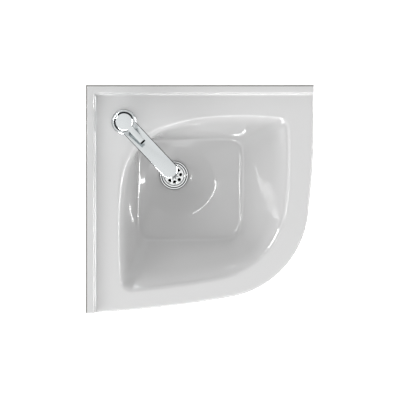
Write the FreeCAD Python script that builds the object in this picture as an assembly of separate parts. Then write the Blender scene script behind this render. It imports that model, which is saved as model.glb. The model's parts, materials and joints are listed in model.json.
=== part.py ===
import FreeCAD, Part
import math
import os

# Corner basin for two walls, with a single-lever mixer tap and a free-flow grid waste.
# Millimetres. Z is up and z = 0 is the top of the deck. The Z axis is the corner where the two walls
# meet: the back wall is the plane y = 0, the side wall is x = 0, and the basin lies in +X, -Y.

V = FreeCAD.Vector
UP = V(0, 0, 1)

# --- Basin: plan ---------------------------------------------------------------------------------
WALL_REACH = 500.0              # corner to the end of the upstand, along either wall
UPSTAND_PAST_BACK = 2.5         # how far the upstand runs past the deck's end at the back wall
UPSTAND_PAST_SIDE = 1.0         # and at the side wall
FRONT_CORNER = (462.0, -433.5)  # where the two front sides would meet without rounding
FRONT_CORNER_RADIUS = 207.0
FRONT_SIDE_BOWS = (11.7, 14.1)  # how far each front side bows out: lower side, right side
RIM_CORNERS = ((85.0, -106.0), (77.0, -454.0), (418.0, -397.0), (445.0, -74.0))
RIM_RADII = (128.0, 25.0, 180.0, 21.0)
RIM_BOWS = (9.0, 8.0, 12.0, 20.4)

# --- Basin: heights and walls --------------------------------------------------------------------
DECK_THICKNESS = 12.0
APRON_DEPTH = 58.0
SKIRT_DEPTH = 150.0
SKIRT_STRAIGHT = 320.0          # full depth of the skirt, measured from the corner
SKIRT_SHORT = 20.0              # its lower edge has risen to the apron's this far from the end
WALL = 11.0                     # bowl, apron and skirt
EDGE_RADIUS = 5.0
APRON_FOOT_RADIUS = 4.0
UPSTAND_HEIGHT = 18.0
UPSTAND_THICKNESS = 19.0
UPSTAND_BACK_RADIUS = 3.5
UPSTAND_FRONT_RADIUS = 5.0

# --- Bowl ----------------------------------------------------------------------------------------
WASTE_X, WASTE_Y = 193.6, -197.9
BOWL_DEPTH = 132.0              # deck to the floor at the waste
PAN_DEPTH = 106.0               # deck to the pan's edge, where wall and pan meet
PAN_LEFT = 82.0                 # waste to the pan's edge, on the left and at the back
PAN_RIGHT = 152.0
PAN_FRONT = 143.0
PAN_POWER = 7                   # how square the pan's edge is: 2 is an ellipse
CREASE = 0.16                   # share of the wall and of the pan that their bend takes up
PAN_BACKING = 4.0               # more china under that bend
DISH_RISE = 10.0                # waste to the dish's edge, where the pan bends down
DISH_RADIUS = 75.0
DISH_SHIFT = 18.0               # the dish's shift from the waste, towards the front corner
LIP_NARROW = 5.0                # half width of the rounded lip, away from the tap
LIP_WIDE = 20.0                 # and beside the tap
LIP_FALL = 3.0
LIP_SPREAD = 88.0               # degrees either side of the tap in which the lip narrows
LIP_OVERRUN = 1 / 3             # share of the lip that the cutting solid runs on above the deck
RIM_STEP = 14.0                 # spacing of the points that carry a section of the bowl
INSIDE_SECTIONS = (0, 0.04, 0.09, 0.16, 0.24, 0.33, 0.41, 0.47, 0.53, 0.6, 0.68, 0.76, 0.84, 0.92, 1)
OUTSIDE_SECTIONS = (0, 0.2, 0.4, 0.6, 0.8, 0.92, 1)

# --- Waste ---------------------------------------------------------------------------------------
WASTE_HOLE_RADIUS = 23.0
WASTE_RECESS = 3.0
BOSS_RADIUS = 38.0
BOSS_LENGTH = 18.0              # bowl floor to the boss's lower face
BOSS_OVERLAP = 5.0              # the bowl's rounded underside runs this far into the boss
FLANGE_RADIUS = 31.0
FLANGE_ROOM = 1.0               # flange to the side of its recess
RECESS_MARGIN = 1.0             # level china round the recess
FLANGE_RISE = 4.5               # seal to the top of the flange's bead
BEAD_WIDTH = 3.5
BEAD_BEVEL = 1.0
GROOVE_WIDTH = 1.5
GROOVE_DEPTH = 1.0
STEP_RING_WIDTH = 3.5
STEP_FALL = 1.2                 # each ring of the grid lies this much lower than the one outside it
GRID_THICKNESS = 2.2
GRID_GROOVE = 0.5               # depth and half width of the groove round the grid
GRID_HOLES = 8
GRID_HOLE_RADIUS = 3.75
GRID_HOLE_CIRCLE = 15.0
GRID_HOLE_TURN = 5.0            # degrees
SPIGOT_ROOM = 1.5               # spigot to the hole in the china
SPIGOT_WALL = 1.8
SPIGOT_LENGTH = 8.0
TOP_SEAL = 1.0
TOP_SEAL_INSET = 0.5
BOTTOM_SEAL = 4.0
TAIL_FLANGE_RADIUS = 31.0
TAIL_FLANGE_HEIGHT = 4.0
TAIL_RADIUS = 20.95             # 1 1/4 inch pipe thread
TAIL_BORE = 17.5
TAIL_LENGTH = 60.0
SPIDER_WIDTH = 6.0
SPIDER_HEIGHT = 8.0
SPIDER_BITE = 1.0               # crossbar into the wall of the tail
SPIDER_BOSS_RADIUS = 6.0
SCREW_RADIUS = 3.0
SCREW_HEAD_RADIUS = 5.5
SCREW_PAST_SPIDER = 2.0
SCREW_SLOT_WIDTH = 1.2
SCREW_SLOT_DEPTH = 1.2

# --- Clearances ----------------------------------------------------------------------------------
SEATED = 0.02                   # between pieces that are pushed or screwed together
RUNNING = 0.05                  # pin in its hole
FREE = 0.3                      # pieces that move past each other
LAPPED = 0.03                   # between the two ceramic discs
CARTRIDGE_GAP = 0.3
DOME_GAP = 0.6                  # dome to the inside of the lever's cap
BALL_ROOM = 0.07                # stem's ball to the moving disc
WINDOW_ROOM = 0.6               # stem to the sides of its window

# --- Tap: cartridge ------------------------------------------------------------------------------
CHAMBER_FLOOR = 78.0
CARTRIDGE_RADIUS = 17.5
CARTRIDGE_BASE_HEIGHT = 4.0
SEAL_HEIGHT = 1.2
SEAL_WALL = 1.5
INLET_X, INLET_SPREAD = -6.0, 7.5
PORT_RADIUS = 3.0
PORT_LENGTH = 6.0               # ports in the chamber's floor
FEED_RADIUS = 5.0               # waterways between the inlets' threads and the ports
OUTLET_X, OUTLET_RADIUS = 8.0, 3.5
HOUSING_WALL = 3.0
HOUSING_LIP_BORE = 11.1
HOUSING_OVER_PIVOT = 4.5
HOUSING_LIP = 2.2
NUT_WALL = 3.0                  # cartridge to the nut's thread
NUT_BORE_STEP = 0.9             # housing's bore to the nut's
NUT_PLATE = 3.5
NUT_SKIRT = 7.5
NOTCH_WIDTH = 3.0
NOTCH_DEPTH = 1.5
NOTCH_RIM = 3.0                 # notch to the nut's thread
FIXED_DISC_HEIGHT = 3.5
MOVING_DISC_RADIUS = 10.5
MOVING_DISC_HEIGHT = 3.0
DISC_POCKET_DEPTH = 1.6
DISC_POCKET_WIDTH = 8.0
DISC_POCKET_BACK = 3.0          # ball to the pocket's rear end
DISC_POCKET_FRONT = 6.0
DISC_HOLDER_RADIUS = 10.0
DISC_HOLDER_HEIGHT = 4.0
TONGUE_WIDTH = 9.6
TONGUE_HEIGHT = 2.0
TONGUE_REACH = 8.0
CARRIER_PROUD = 1.5             # carrier above the housing
PIVOT_RISE = 26.0               # chamber floor to the pivot pin
PIN_RADIUS = 1.5
PIN_INSET = 1.5                 # pin's end to the housing's bore
STEM_WIDTH = 6.0
STEM_BLOCK = 6.0                # square part of the stem under the pivot
STEM_LEAN = 10.0                # degrees that the stem leans to the spout with the tap shut
NECK_RADIUS = 1.7
BALL_RADIUS = 2.4
LIFT_RANGE = 25.0

# --- Tap: body and spout -------------------------------------------------------------------------
TAP_X, TAP_Y = 83.6, -80.6
TAP_TURN = -46.8                # degrees from +X to the spout
TAP_HOLE_RADIUS = 17.5
BASE_SEAL_THICKNESS = 1.5
BASE_SEAL_INSET = 1.0
FOOT_OUTER_RADIUS = 27.5
FOOT_STEP = 1.5                 # body to the top of the foot's slope
FOOT_HEIGHT = 5.0
FOOT_RIM = 1.5
FOOT_RECESS_RADIUS = 16.5
FOOT_RECESS = 4.0
BODY_WALL = 2.5                 # outside the nut's thread
SPOUT_WIDTH = 37.0
SPOUT_REACH = 163.5             # axis to the tip
SPOUT_TOP = 80.0
SPOUT_ROOT_THICKNESS = 18.0
SPOUT_TIP_THICKNESS = 14.0
SPOUT_EDGE = 1.5
WATERWAY_RADIUS = 4.0
SPIGOT_TUBE_WALL = 1.2          # tube on the spout's root, brazed into the body
SPIGOT_TUBE_X = 14.0            # its end, from the tap's axis
WATERWAY_DROP = 8.5             # spout's top to the middle of the waterway
INLET_RADIUS = 4.5
INLET_LENGTH = 14.0
AERATOR_RADIUS = 12.0
AERATOR_HEIGHT = 11.0
AERATOR_SEAL = 1.5
AERATOR_WASHER_WIDTH = 3.5
AERATOR_WALL = 1.6
AERATOR_LIP = 1.2
AERATOR_DROP = 1.0              # the ring stands this much out of the spout
AERATOR_HOLE_RADIUS = 0.9
AERATOR_CIRCLES = (3.6, 7.0)
AERATOR_CIRCLE_HOLES = (6, 12)

# --- Tap: dome and lever -------------------------------------------------------------------------
DOME_INSET = 0.2                # body's edge to the dome
DOME_WALL = 1.8
DOME_HOLE_ANGLE = 24.0
CAP_RADIUS = 19.5
CAP_RIM_WALL = 1.3
CAP_METAL = 9.2                 # over the dome
CAP_EDGE = 1.2
STEM_TOP_COVER = 2.5            # lever metal over the stem's end
LEVER_REACH = 62.5
LEVER_WIDTH = 12.0
LEVER_THICKNESS = 7.0
LEVER_END_BEVEL = 4.0
GRUB_RADIUS = 2.5
GRUB_DROP = 5.2                 # cap's top to the grub screw
GRUB_LENGTH = 8.0
GRUB_KEY_RADIUS = 1.25
GRUB_KEY_DEPTH = 3.0
INDEX_RADIUS = 3.4
INDEX_DEPTH = 1.5

# --- Tap: fixing under the deck ------------------------------------------------------------------
STUD_RADIUS = 4.0
STUD_X = 10.0
STUD_ENGAGE = 12.0              # thread in the tap's foot
STUD_END_ROOM = 1.0
STUD_BELOW_DECK = 50.0
HORSESHOE_RADIUS = 24.0
HORSESHOE_SLOT = 14.0           # half width of the slot that the hoses pass
HORSESHOE_BRIDGE = 3.0          # slot to the stud
RUBBER_HORSESHOE = 3.0
METAL_HORSESHOE = 2.5
FIXING_NUT_FLATS = 13.0
FIXING_NUT_HEIGHT = 14.0

# --- Wall fixing ---------------------------------------------------------------------------------
FIXING_REACH = 280.0
FIXING_DROP = 75.0
FIXING_HOLE_RADIUS = 7.0

# --- Modelling -----------------------------------------------------------------------------------
TINY = 0.01                     # for comparing places
PAST = 1.0                      # a cut runs this far past a face
ARC_PARTS = 4                   # fewest parts that an arc is divided into

# --- Worked out from the sizes above -------------------------------------------------------------
DECK_REACH_BACK = WALL_REACH - UPSTAND_PAST_BACK
DECK_REACH_SIDE = WALL_REACH - UPSTAND_PAST_SIDE
DECK_UNDER = -DECK_THICKNESS
SKIRT_END = WALL_REACH - SKIRT_SHORT

WASTE_SEAT_Z = -BOWL_DEPTH - WASTE_RECESS
WASTE_RECESS_RADIUS = FLANGE_RADIUS + FLANGE_ROOM
WASTE_SEAT_RADIUS = WASTE_RECESS_RADIUS + RECESS_MARGIN
BOSS_BOTTOM = -BOWL_DEPTH - BOSS_LENGTH
SPIGOT_RADIUS = WASTE_HOLE_RADIUS - SPIGOT_ROOM
BEAD_TOP = WASTE_SEAT_Z + TOP_SEAL + FLANGE_RISE
STEP_TOP = BEAD_TOP - STEP_FALL
GRID_TOP = STEP_TOP - STEP_FALL

HOUSING_BORE = CARTRIDGE_RADIUS - HOUSING_WALL
FIXED_DISC_RADIUS = HOUSING_BORE - FREE
FIXED_DISC_LOW = CHAMBER_FLOOR + CARTRIDGE_BASE_HEIGHT
FIXED_DISC_TOP = FIXED_DISC_LOW + FIXED_DISC_HEIGHT
MOVING_DISC_LOW = FIXED_DISC_TOP + LAPPED
MOVING_DISC_TOP = MOVING_DISC_LOW + MOVING_DISC_HEIGHT
PIVOT_Z = CHAMBER_FLOOR + PIVOT_RISE
STEM_ARM = PIVOT_Z - (MOVING_DISC_TOP + BALL_ROOM + BALL_RADIUS)
PIN_LENGTH = 2 * (HOUSING_BORE - PIN_INSET)
HOUSING_TOP = PIVOT_Z + HOUSING_OVER_PIVOT
NUT_THREAD_RADIUS = CARTRIDGE_RADIUS + NUT_WALL
NUT_BORE = HOUSING_LIP_BORE + NUT_BORE_STEP

FOOT_Z = BASE_SEAL_THICKNESS
BODY_RADIUS = NUT_THREAD_RADIUS + BODY_WALL
BODY_TOP = HOUSING_TOP + NUT_PLATE
WATERWAY_Z = SPOUT_TOP - WATERWAY_DROP
DOME_RADIUS = math.hypot(BODY_RADIUS - DOME_INSET, BODY_TOP - PIVOT_Z)
CAP_TOP = PIVOT_Z + DOME_RADIUS + DOME_GAP + CAP_METAL
GRUB_Z = CAP_TOP - GRUB_DROP


# --- Small helpers -------------------------------------------------------------------------------
def cylinder(radius, z_low, z_high, x=0.0, y=0.0):
    return Part.makeCylinder(radius, z_high - z_low, V(x, y, z_low))


def box(x_low, x_high, y_low, y_high, z_low, z_high):
    return Part.makeBox(x_high - x_low, y_high - y_low, z_high - z_low, V(x_low, y_low, z_low))


def lying_x(radius, x_low, x_high, z):
    """A cylinder along X in the plane y = 0."""
    return Part.makeCylinder(radius, x_high - x_low, V(x_low, 0, z), V(1, 0, 0))


def lying_y(radius, length, z):
    """A cylinder along Y, its middle on the Z axis."""
    return Part.makeCylinder(radius, length, V(0, -length / 2, z), V(0, 1, 0))


def ring(outer, inner, z_low, z_high, x=0.0, y=0.0):
    return cylinder(outer, z_low, z_high, x, y).cut(cylinder(inner, z_low, z_high, x, y))


def about_z(shape, degrees):
    moved = shape.copy()
    moved.rotate(V(0, 0, 0), UP, degrees)
    return moved


def turned(profile):
    """Solid of revolution about Z from (radius, z) points."""
    points = [V(r, 0, z) for r, z in profile]
    wire = Part.makePolygon(points + points[:1])
    return Part.Face(wire).revolve(V(0, 0, 0), UP, 360)


def prism(wire, z_low, z_high):
    face = Part.Face(wire)
    face.translate(V(0, 0, z_low - face.BoundBox.ZMin))
    return face.extrude(V(0, 0, z_high - z_low))


def tap_placed(shape):
    """From the tap's own frame, spout along +X, to its place on the deck."""
    moved = about_z(shape, TAP_TURN)
    moved.translate(V(TAP_X, TAP_Y, 0))
    return moved


def waste_placed(shape):
    moved = shape.copy()
    moved.translate(V(WASTE_X, WASTE_Y, 0))
    return moved


# --- Plan outlines made of arcs ------------------------------------------------------------------
def side_circle(start, end, bow):
    """Centre and radius of the arc from start to end that bows out to the right of travel."""
    chord_x, chord_y = end[0] - start[0], end[1] - start[1]
    chord = math.hypot(chord_x, chord_y)
    radius = (chord * chord / 4 + bow * bow) / (2 * bow)
    out_x, out_y = chord_y / chord, -chord_x / chord
    centre_x = (start[0] + end[0]) / 2 + out_x * (bow - radius)
    centre_y = (start[1] + end[1]) / 2 + out_y * (bow - radius)
    return (centre_x, centre_y), radius


def circles_meet(first, first_radius, second, second_radius, near):
    """The meeting point of two circles that is nearer to a given point."""
    dx, dy = second[0] - first[0], second[1] - first[1]
    apart = math.hypot(dx, dy)
    along = (first_radius ** 2 - second_radius ** 2 + apart ** 2) / (2 * apart)
    aside = math.sqrt(first_radius ** 2 - along ** 2)
    middle = (first[0] + along * dx / apart, first[1] + along * dy / apart)
    options = [
        (middle[0] - side * aside * dy / apart, middle[1] + side * aside * dx / apart)
        for side in (1, -1)
    ]
    return min(options, key=lambda p: math.hypot(p[0] - near[0], p[1] - near[1]))


def tangent_point(circle, rounding):
    """Where a rounding touches the side circle that it lies inside."""
    (cx, cy), radius = circle
    dx, dy = rounding[0] - cx, rounding[1] - cy
    length = math.hypot(dx, dy)
    return (cx + dx / length * radius, cy + dy / length * radius)


def arc_points(centre, start, end, step):
    """Points from start up to, not including, end, counter-clockwise about centre."""
    radius = math.hypot(start[0] - centre[0], start[1] - centre[1])
    low = math.atan2(start[1] - centre[1], start[0] - centre[0])
    sweep = (math.atan2(end[1] - centre[1], end[0] - centre[0]) - low) % (2 * math.pi)
    count = max(ARC_PARTS, round(radius * sweep / step))
    return [
        (centre[0] + radius * math.cos(low + sweep * i / count),
         centre[1] + radius * math.sin(low + sweep * i / count))
        for i in range(count)
    ]


def rim_points():
    """Evenly spaced points round the bowl's rim, counter-clockwise."""
    count = len(RIM_CORNERS)
    sides = [
        side_circle(RIM_CORNERS[i], RIM_CORNERS[(i + 1) % count], RIM_BOWS[i]) for i in range(count)
    ]
    roundings = []
    for i in range(count):
        (before, before_radius), (after, after_radius) = sides[i - 1], sides[i]
        roundings.append(circles_meet(before, before_radius - RIM_RADII[i],
                                      after, after_radius - RIM_RADII[i], RIM_CORNERS[i]))
    points = []
    for i in range(count):
        into = tangent_point(sides[i - 1], roundings[i])
        out = tangent_point(sides[i], roundings[i])
        following = tangent_point(sides[i], roundings[(i + 1) % count])
        points += arc_points(roundings[i], into, out, RIM_STEP / 2)
        points += arc_points(sides[i][0], out, following, RIM_STEP)
    return points


def arc_edge(centre, start, end):
    """The counter-clockwise arc about centre, in the plane z = 0."""
    middle = arc_points(centre, start, end, math.inf)[ARC_PARTS // 2]
    return Part.Arc(V(*start, 0), V(*middle, 0), V(*end, 0)).toShape()


def on_circle_at_x(circle, x, below):
    (cx, cy), radius = circle
    rise = math.sqrt(radius ** 2 - (x - cx) ** 2)
    return (x, cy - rise if below else cy + rise)


def on_circle_at_y(circle, y):
    (cx, cy), radius = circle
    return (cx + math.sqrt(radius ** 2 - (y - cy) ** 2), y)


def deck_outline(inset):
    """The deck's plan, all round inset by the same amount, as a closed wire at z = 0."""
    lower = side_circle((0, -DECK_REACH_SIDE), FRONT_CORNER, FRONT_SIDE_BOWS[0])
    right = side_circle(FRONT_CORNER, (DECK_REACH_BACK, 0), FRONT_SIDE_BOWS[1])
    rounding = circles_meet(lower[0], lower[1] - FRONT_CORNER_RADIUS,
                            right[0], right[1] - FRONT_CORNER_RADIUS, FRONT_CORNER)
    lower_in = (lower[0], lower[1] - inset)
    right_in = (right[0], right[1] - inset)
    start = on_circle_at_x(lower_in, inset, below=True)
    end = on_circle_at_y(right_in, -inset)
    first = tangent_point(lower_in, rounding)
    second = tangent_point(right_in, rounding)
    corner = (inset, -inset)
    return Part.Wire([
        Part.makeLine(V(*corner, 0), V(*start, 0)),
        arc_edge(lower[0], start, first),
        arc_edge(rounding, first, second),
        arc_edge(right[0], second, end),
        Part.makeLine(V(*end, 0), V(*corner, 0)),
    ])


# --- Bowl ----------------------------------------------------------------------------------------
def rim_rays():
    """(direction angle, distance) from the waste to each rim point."""
    return [
        (math.atan2(y - WASTE_Y, x - WASTE_X), math.hypot(x - WASTE_X, y - WASTE_Y))
        for x, y in rim_points()
    ]


def lip_at(angle):
    """Half width of the rounded lip: wide beside the tap and narrow elsewhere."""
    to_tap = math.atan2(TAP_Y - WASTE_Y, TAP_X - WASTE_X)
    away = abs((angle - to_tap + math.pi) % (2 * math.pi) - math.pi)
    share = min(1.0, away / math.radians(LIP_SPREAD))
    return LIP_NARROW + (LIP_WIDE - LIP_NARROW) * (0.5 + 0.5 * math.cos(math.pi * share))


def dish_at(angle):
    """Distance from the waste to the edge of the dish round it."""
    from_front = angle + math.pi / 4
    return (DISH_SHIFT * math.cos(from_front)
            + math.sqrt(DISH_RADIUS ** 2 - (DISH_SHIFT * math.sin(from_front)) ** 2))


def pan_at(angle):
    """Distance from the waste to the pan's edge: a rounded rectangle about the waste."""
    across = PAN_LEFT if math.cos(angle) < 0 else PAN_RIGHT
    along = PAN_LEFT if math.sin(angle) > 0 else PAN_FRONT
    return (abs(math.cos(angle) / across) ** PAN_POWER
            + abs(math.sin(angle) / along) ** PAN_POWER) ** (-1 / PAN_POWER)


def between(start, end, share):
    return (start[0] + (end[0] - start[0]) * share, start[1] + (end[1] - start[1]) * share)


def section_wire(radii, rays, z):
    points = [
        V(WASTE_X + radius * math.cos(angle), WASTE_Y + radius * math.sin(angle), z)
        for radius, (angle, reach) in zip(radii, rays)
    ]
    curve = Part.BSplineCurve()
    curve.interpolate(points, PeriodicFlag=True)
    return Part.Wire(curve.toShape())


def smooth_run(poles):
    """A clamped cubic curve over (distance, z) poles."""
    inner = len(poles) - 4
    curve = Part.BSplineCurve()
    curve.buildFromPolesMultsKnots([V(d, 0, z) for d, z in poles],
                                   [4] + [1] * inner + [4], list(range(inner + 2)), False, 3)
    return curve


def point_along(curve, share):
    return curve.value(curve.FirstParameter + share * (curve.LastParameter - curve.FirstParameter))


def level_sections(profiles, rays, shares):
    """Wires through the same share of every ray's run of poles. Each lies level."""
    curves = [smooth_run(poles) for poles in profiles]
    wires = []
    for share in shares:
        along = [point_along(curve, share) for curve in curves]
        wires.append(section_wire([p.x for p in along], rays, along[0].z))
    return wires


def bowl_inside():
    """The space inside the bowl, from just over the deck to the floor."""
    rays = rim_rays()
    seat = (WASTE_SEAT_RADIUS, -BOWL_DEPTH)
    profiles = []
    for angle, reach in rays:
        under_lip = (reach - lip_at(angle), -LIP_FALL)
        pan = (pan_at(angle), -PAN_DEPTH)
        dish = (dish_at(angle), DISH_RISE - BOWL_DEPTH)
        profiles.append([
            (reach, 0.0), under_lip, between(under_lip, pan, 1 / 3), between(under_lip, pan, 2 / 3),
            between(under_lip, pan, 1 - CREASE / 2), pan, between(pan, dish, CREASE),
            between(pan, dish, 1 - CREASE), dish, between(dish, seat, 2 * CREASE), seat,
        ])
    over = section_wire([reach + lip_at(angle) * LIP_OVERRUN for angle, reach in rays],
                        rays, LIP_FALL * LIP_OVERRUN)
    return Part.makeLoft([over] + level_sections(profiles, rays, INSIDE_SECTIONS), True, False)


def bowl_outside():
    """The solid that the bowl's shell is cut from, one wall larger than the inside."""
    rays = rim_rays()
    top_z = -DECK_THICKNESS / 2
    profiles = []
    for angle, reach in rays:
        pan = pan_at(angle)
        slope = (reach - lip_at(angle) - pan) / PAN_DEPTH
        out = pan + slope * PAN_DEPTH + WALL * math.hypot(slope, 1)
        top = (out + slope * top_z, top_z)
        low = (out - slope * (PAN_DEPTH + WALL) + PAN_BACKING, -PAN_DEPTH - WALL - PAN_BACKING)
        profiles.append([
            top, between(top, low, 1 / 3), between(top, low, 2 / 3), low,
            (dish_at(angle), DISH_RISE - BOWL_DEPTH - WALL),
            (BOSS_RADIUS - BOSS_OVERLAP, -BOWL_DEPTH - WALL),
        ])
    return Part.makeLoft(level_sections(profiles, rays, OUTSIDE_SECTIONS), True, False)


# --- Basin body ----------------------------------------------------------------------------------
def on_wall(edge):
    box_of = edge.BoundBox
    return box_of.XMax < TINY or box_of.YMin > -TINY


def deck_and_apron():
    block = prism(deck_outline(0), -APRON_DEPTH, 0)
    upper = [e for e in block.Edges if e.BoundBox.ZMin > -TINY and not on_wall(e)]
    block = block.makeFillet(EDGE_RADIUS, upper)
    lower = [e for e in block.Edges if e.BoundBox.ZMax < TINY - APRON_DEPTH and not on_wall(e)]
    block = block.makeFillet(APRON_FOOT_RADIUS, lower)
    hollow = prism(deck_outline(WALL), -APRON_DEPTH - PAST, DECK_UNDER)
    return block.cut(hollow)


def upstand():
    reach, thick = WALL_REACH, UPSTAND_THICKNESS
    plan = [(0, 0), (0, -reach), (thick, -reach), (thick, -thick), (reach, -thick), (reach, 0)]
    wire = Part.makePolygon([V(x, y, 0) for x, y in plan + plan[:1]])
    solid = prism(wire, DECK_UNDER, UPSTAND_HEIGHT)
    top = [e for e in solid.Edges if e.BoundBox.ZMin > UPSTAND_HEIGHT - TINY]
    back = [e for e in top if on_wall(e)]
    solid = solid.makeFillet(UPSTAND_BACK_RADIUS, back)
    front = [e for e in solid.Edges
             if e.BoundBox.ZMin > UPSTAND_HEIGHT - TINY and not on_wall(e)
             and max(e.BoundBox.XLength, e.BoundBox.YLength) > reach / 2
             and min(e.BoundBox.XMax, -e.BoundBox.YMin) > thick - TINY]
    return solid.makeFillet(UPSTAND_FRONT_RADIUS, front)


def skirt():
    """The plate against one wall, as the X-Z outline that both walls share, on the back wall."""
    rise = SKIRT_DEPTH - APRON_DEPTH
    run = SKIRT_END - SKIRT_STRAIGHT
    radius = (run * run + rise * rise) / (2 * rise)
    half = math.asin(run / radius) / 2
    centre_z = radius - SKIRT_DEPTH
    middle = V(SKIRT_STRAIGHT + radius * math.sin(half), 0, centre_z - radius * math.cos(half))
    straight_end = V(SKIRT_STRAIGHT, 0, -SKIRT_DEPTH)
    arc_end = V(SKIRT_END, 0, -APRON_DEPTH)
    top = -DECK_THICKNESS / 2
    outline = Part.Wire([
        Part.makeLine(V(0, 0, top), V(0, 0, -SKIRT_DEPTH)),
        Part.makeLine(V(0, 0, -SKIRT_DEPTH), straight_end),
        Part.Arc(straight_end, middle, arc_end).toShape(),
        Part.makeLine(arc_end, V(SKIRT_END, 0, top)),
        Part.makeLine(V(SKIRT_END, 0, top), V(0, 0, top)),
    ])
    return Part.Face(outline).extrude(V(0, -WALL, 0))


def to_side_wall(shape):
    """The mirror image across the diagonal between the two walls."""
    return shape.mirror(V(0, 0, 0), V(1, 1, 0))


def fixing_hole():
    start = V(FIXING_REACH, PAST, -FIXING_DROP)
    return Part.makeCylinder(FIXING_HOLE_RADIUS, WALL + 2 * PAST, start, V(0, -1, 0))


def basin_body():
    body = deck_and_apron()
    back_skirt = skirt()
    boss = cylinder(BOSS_RADIUS, BOSS_BOTTOM, -BOWL_DEPTH - WALL / 2, WASTE_X, WASTE_Y)
    body = body.fuse([upstand(), back_skirt, to_side_wall(back_skirt), bowl_outside(), boss])
    hole = fixing_hole()
    body = body.cut(bowl_inside())
    body = body.cut([
        cylinder(TAP_HOLE_RADIUS, DECK_UNDER - PAST, PAST, TAP_X, TAP_Y),
        cylinder(WASTE_HOLE_RADIUS, BOSS_BOTTOM - PAST, -BOWL_DEPTH, WASTE_X, WASTE_Y),
        cylinder(WASTE_RECESS_RADIUS, WASTE_SEAT_Z, PAST - BOWL_DEPTH, WASTE_X, WASTE_Y),
        hole,
        to_side_wall(hole),
    ])
    return body.removeSplitter()


# --- Waste ---------------------------------------------------------------------------------------
def grid_hole_places():
    turn = math.radians(GRID_HOLE_TURN)
    step = 2 * math.pi / GRID_HOLES
    return [
        (GRID_HOLE_CIRCLE * math.cos(turn + i * step), GRID_HOLE_CIRCLE * math.sin(turn + i * step))
        for i in range(GRID_HOLES)
    ]


def waste_grid():
    """Bead, groove, step ring and grid in one turned piece with its spigot."""
    under = WASTE_SEAT_Z + TOP_SEAL
    bead_inner = FLANGE_RADIUS - BEAD_WIDTH
    step_outer = bead_inner - GROOVE_WIDTH
    grid_outer = step_outer - STEP_RING_WIDTH
    groove = STEP_TOP - GROOVE_DEPTH
    spigot_inner = SPIGOT_RADIUS - SPIGOT_WALL
    solid = turned([
        (0, GRID_TOP), (grid_outer - 2 * GRID_GROOVE, GRID_TOP),
        (grid_outer - GRID_GROOVE, GRID_TOP - GRID_GROOVE), (grid_outer, GRID_TOP),
        (grid_outer, STEP_TOP), (step_outer, STEP_TOP), (step_outer, groove), (bead_inner, groove),
        (bead_inner, BEAD_TOP - BEAD_BEVEL), (bead_inner + BEAD_BEVEL, BEAD_TOP),
        (FLANGE_RADIUS - BEAD_BEVEL, BEAD_TOP), (FLANGE_RADIUS, BEAD_TOP - BEAD_BEVEL),
        (FLANGE_RADIUS, under), (SPIGOT_RADIUS, under), (SPIGOT_RADIUS, under - SPIGOT_LENGTH),
        (spigot_inner, under - SPIGOT_LENGTH), (spigot_inner, GRID_TOP - GRID_THICKNESS),
        (0, GRID_TOP - GRID_THICKNESS),
    ])
    holes = [
        cylinder(GRID_HOLE_RADIUS, under - PAST, BEAD_TOP, x, y) for x, y in grid_hole_places()
    ]
    screw_hole = cylinder(SCREW_RADIUS + FREE, under - PAST, BEAD_TOP)
    return solid.cut(holes + [screw_hole, screw_cone(GRID_TOP, SEATED)])


def screw_cone(top, room):
    """The screw's countersunk head, or with room its seat."""
    fall = SCREW_HEAD_RADIUS - SCREW_RADIUS
    return Part.makeCone(SCREW_RADIUS + room, SCREW_HEAD_RADIUS + room, fall, V(0, 0, top - fall))


def waste_screw():
    spider_bottom = BOSS_BOTTOM - BOTTOM_SEAL - TAIL_FLANGE_HEIGHT - SPIDER_HEIGHT
    fall = SCREW_HEAD_RADIUS - SCREW_RADIUS
    shank = cylinder(SCREW_RADIUS, spider_bottom - SCREW_PAST_SPIDER, GRID_TOP - fall)
    slot = box(-SCREW_HEAD_RADIUS, SCREW_HEAD_RADIUS, -SCREW_SLOT_WIDTH / 2, SCREW_SLOT_WIDTH / 2,
               GRID_TOP - SCREW_SLOT_DEPTH, GRID_TOP)
    return shank.fuse(screw_cone(GRID_TOP, 0)).cut(slot).removeSplitter()


def waste_top_seal():
    outer = FLANGE_RADIUS - TOP_SEAL_INSET
    return ring(outer, WASTE_HOLE_RADIUS, WASTE_SEAT_Z, WASTE_SEAT_Z + TOP_SEAL)


def waste_bottom_seal():
    return ring(TAIL_FLANGE_RADIUS, WASTE_HOLE_RADIUS, BOSS_BOTTOM - BOTTOM_SEAL, BOSS_BOTTOM)


def waste_tail():
    top = BOSS_BOTTOM - BOTTOM_SEAL
    shoulder = top - TAIL_FLANGE_HEIGHT
    bottom = top - TAIL_LENGTH
    tail = cylinder(TAIL_FLANGE_RADIUS, shoulder, top).fuse(cylinder(TAIL_RADIUS, bottom, shoulder))
    tail = tail.cut(cylinder(TAIL_BORE, bottom, top))
    spider_end = TAIL_BORE + SPIDER_BITE
    spider = box(-spider_end, spider_end, -SPIDER_WIDTH / 2, SPIDER_WIDTH / 2,
                 shoulder - SPIDER_HEIGHT, shoulder)
    boss = cylinder(SPIDER_BOSS_RADIUS, shoulder - SPIDER_HEIGHT, shoulder)
    tail = tail.fuse([spider, boss])
    return tail.cut(cylinder(SCREW_RADIUS + SEATED, bottom, top)).removeSplitter()


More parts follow.
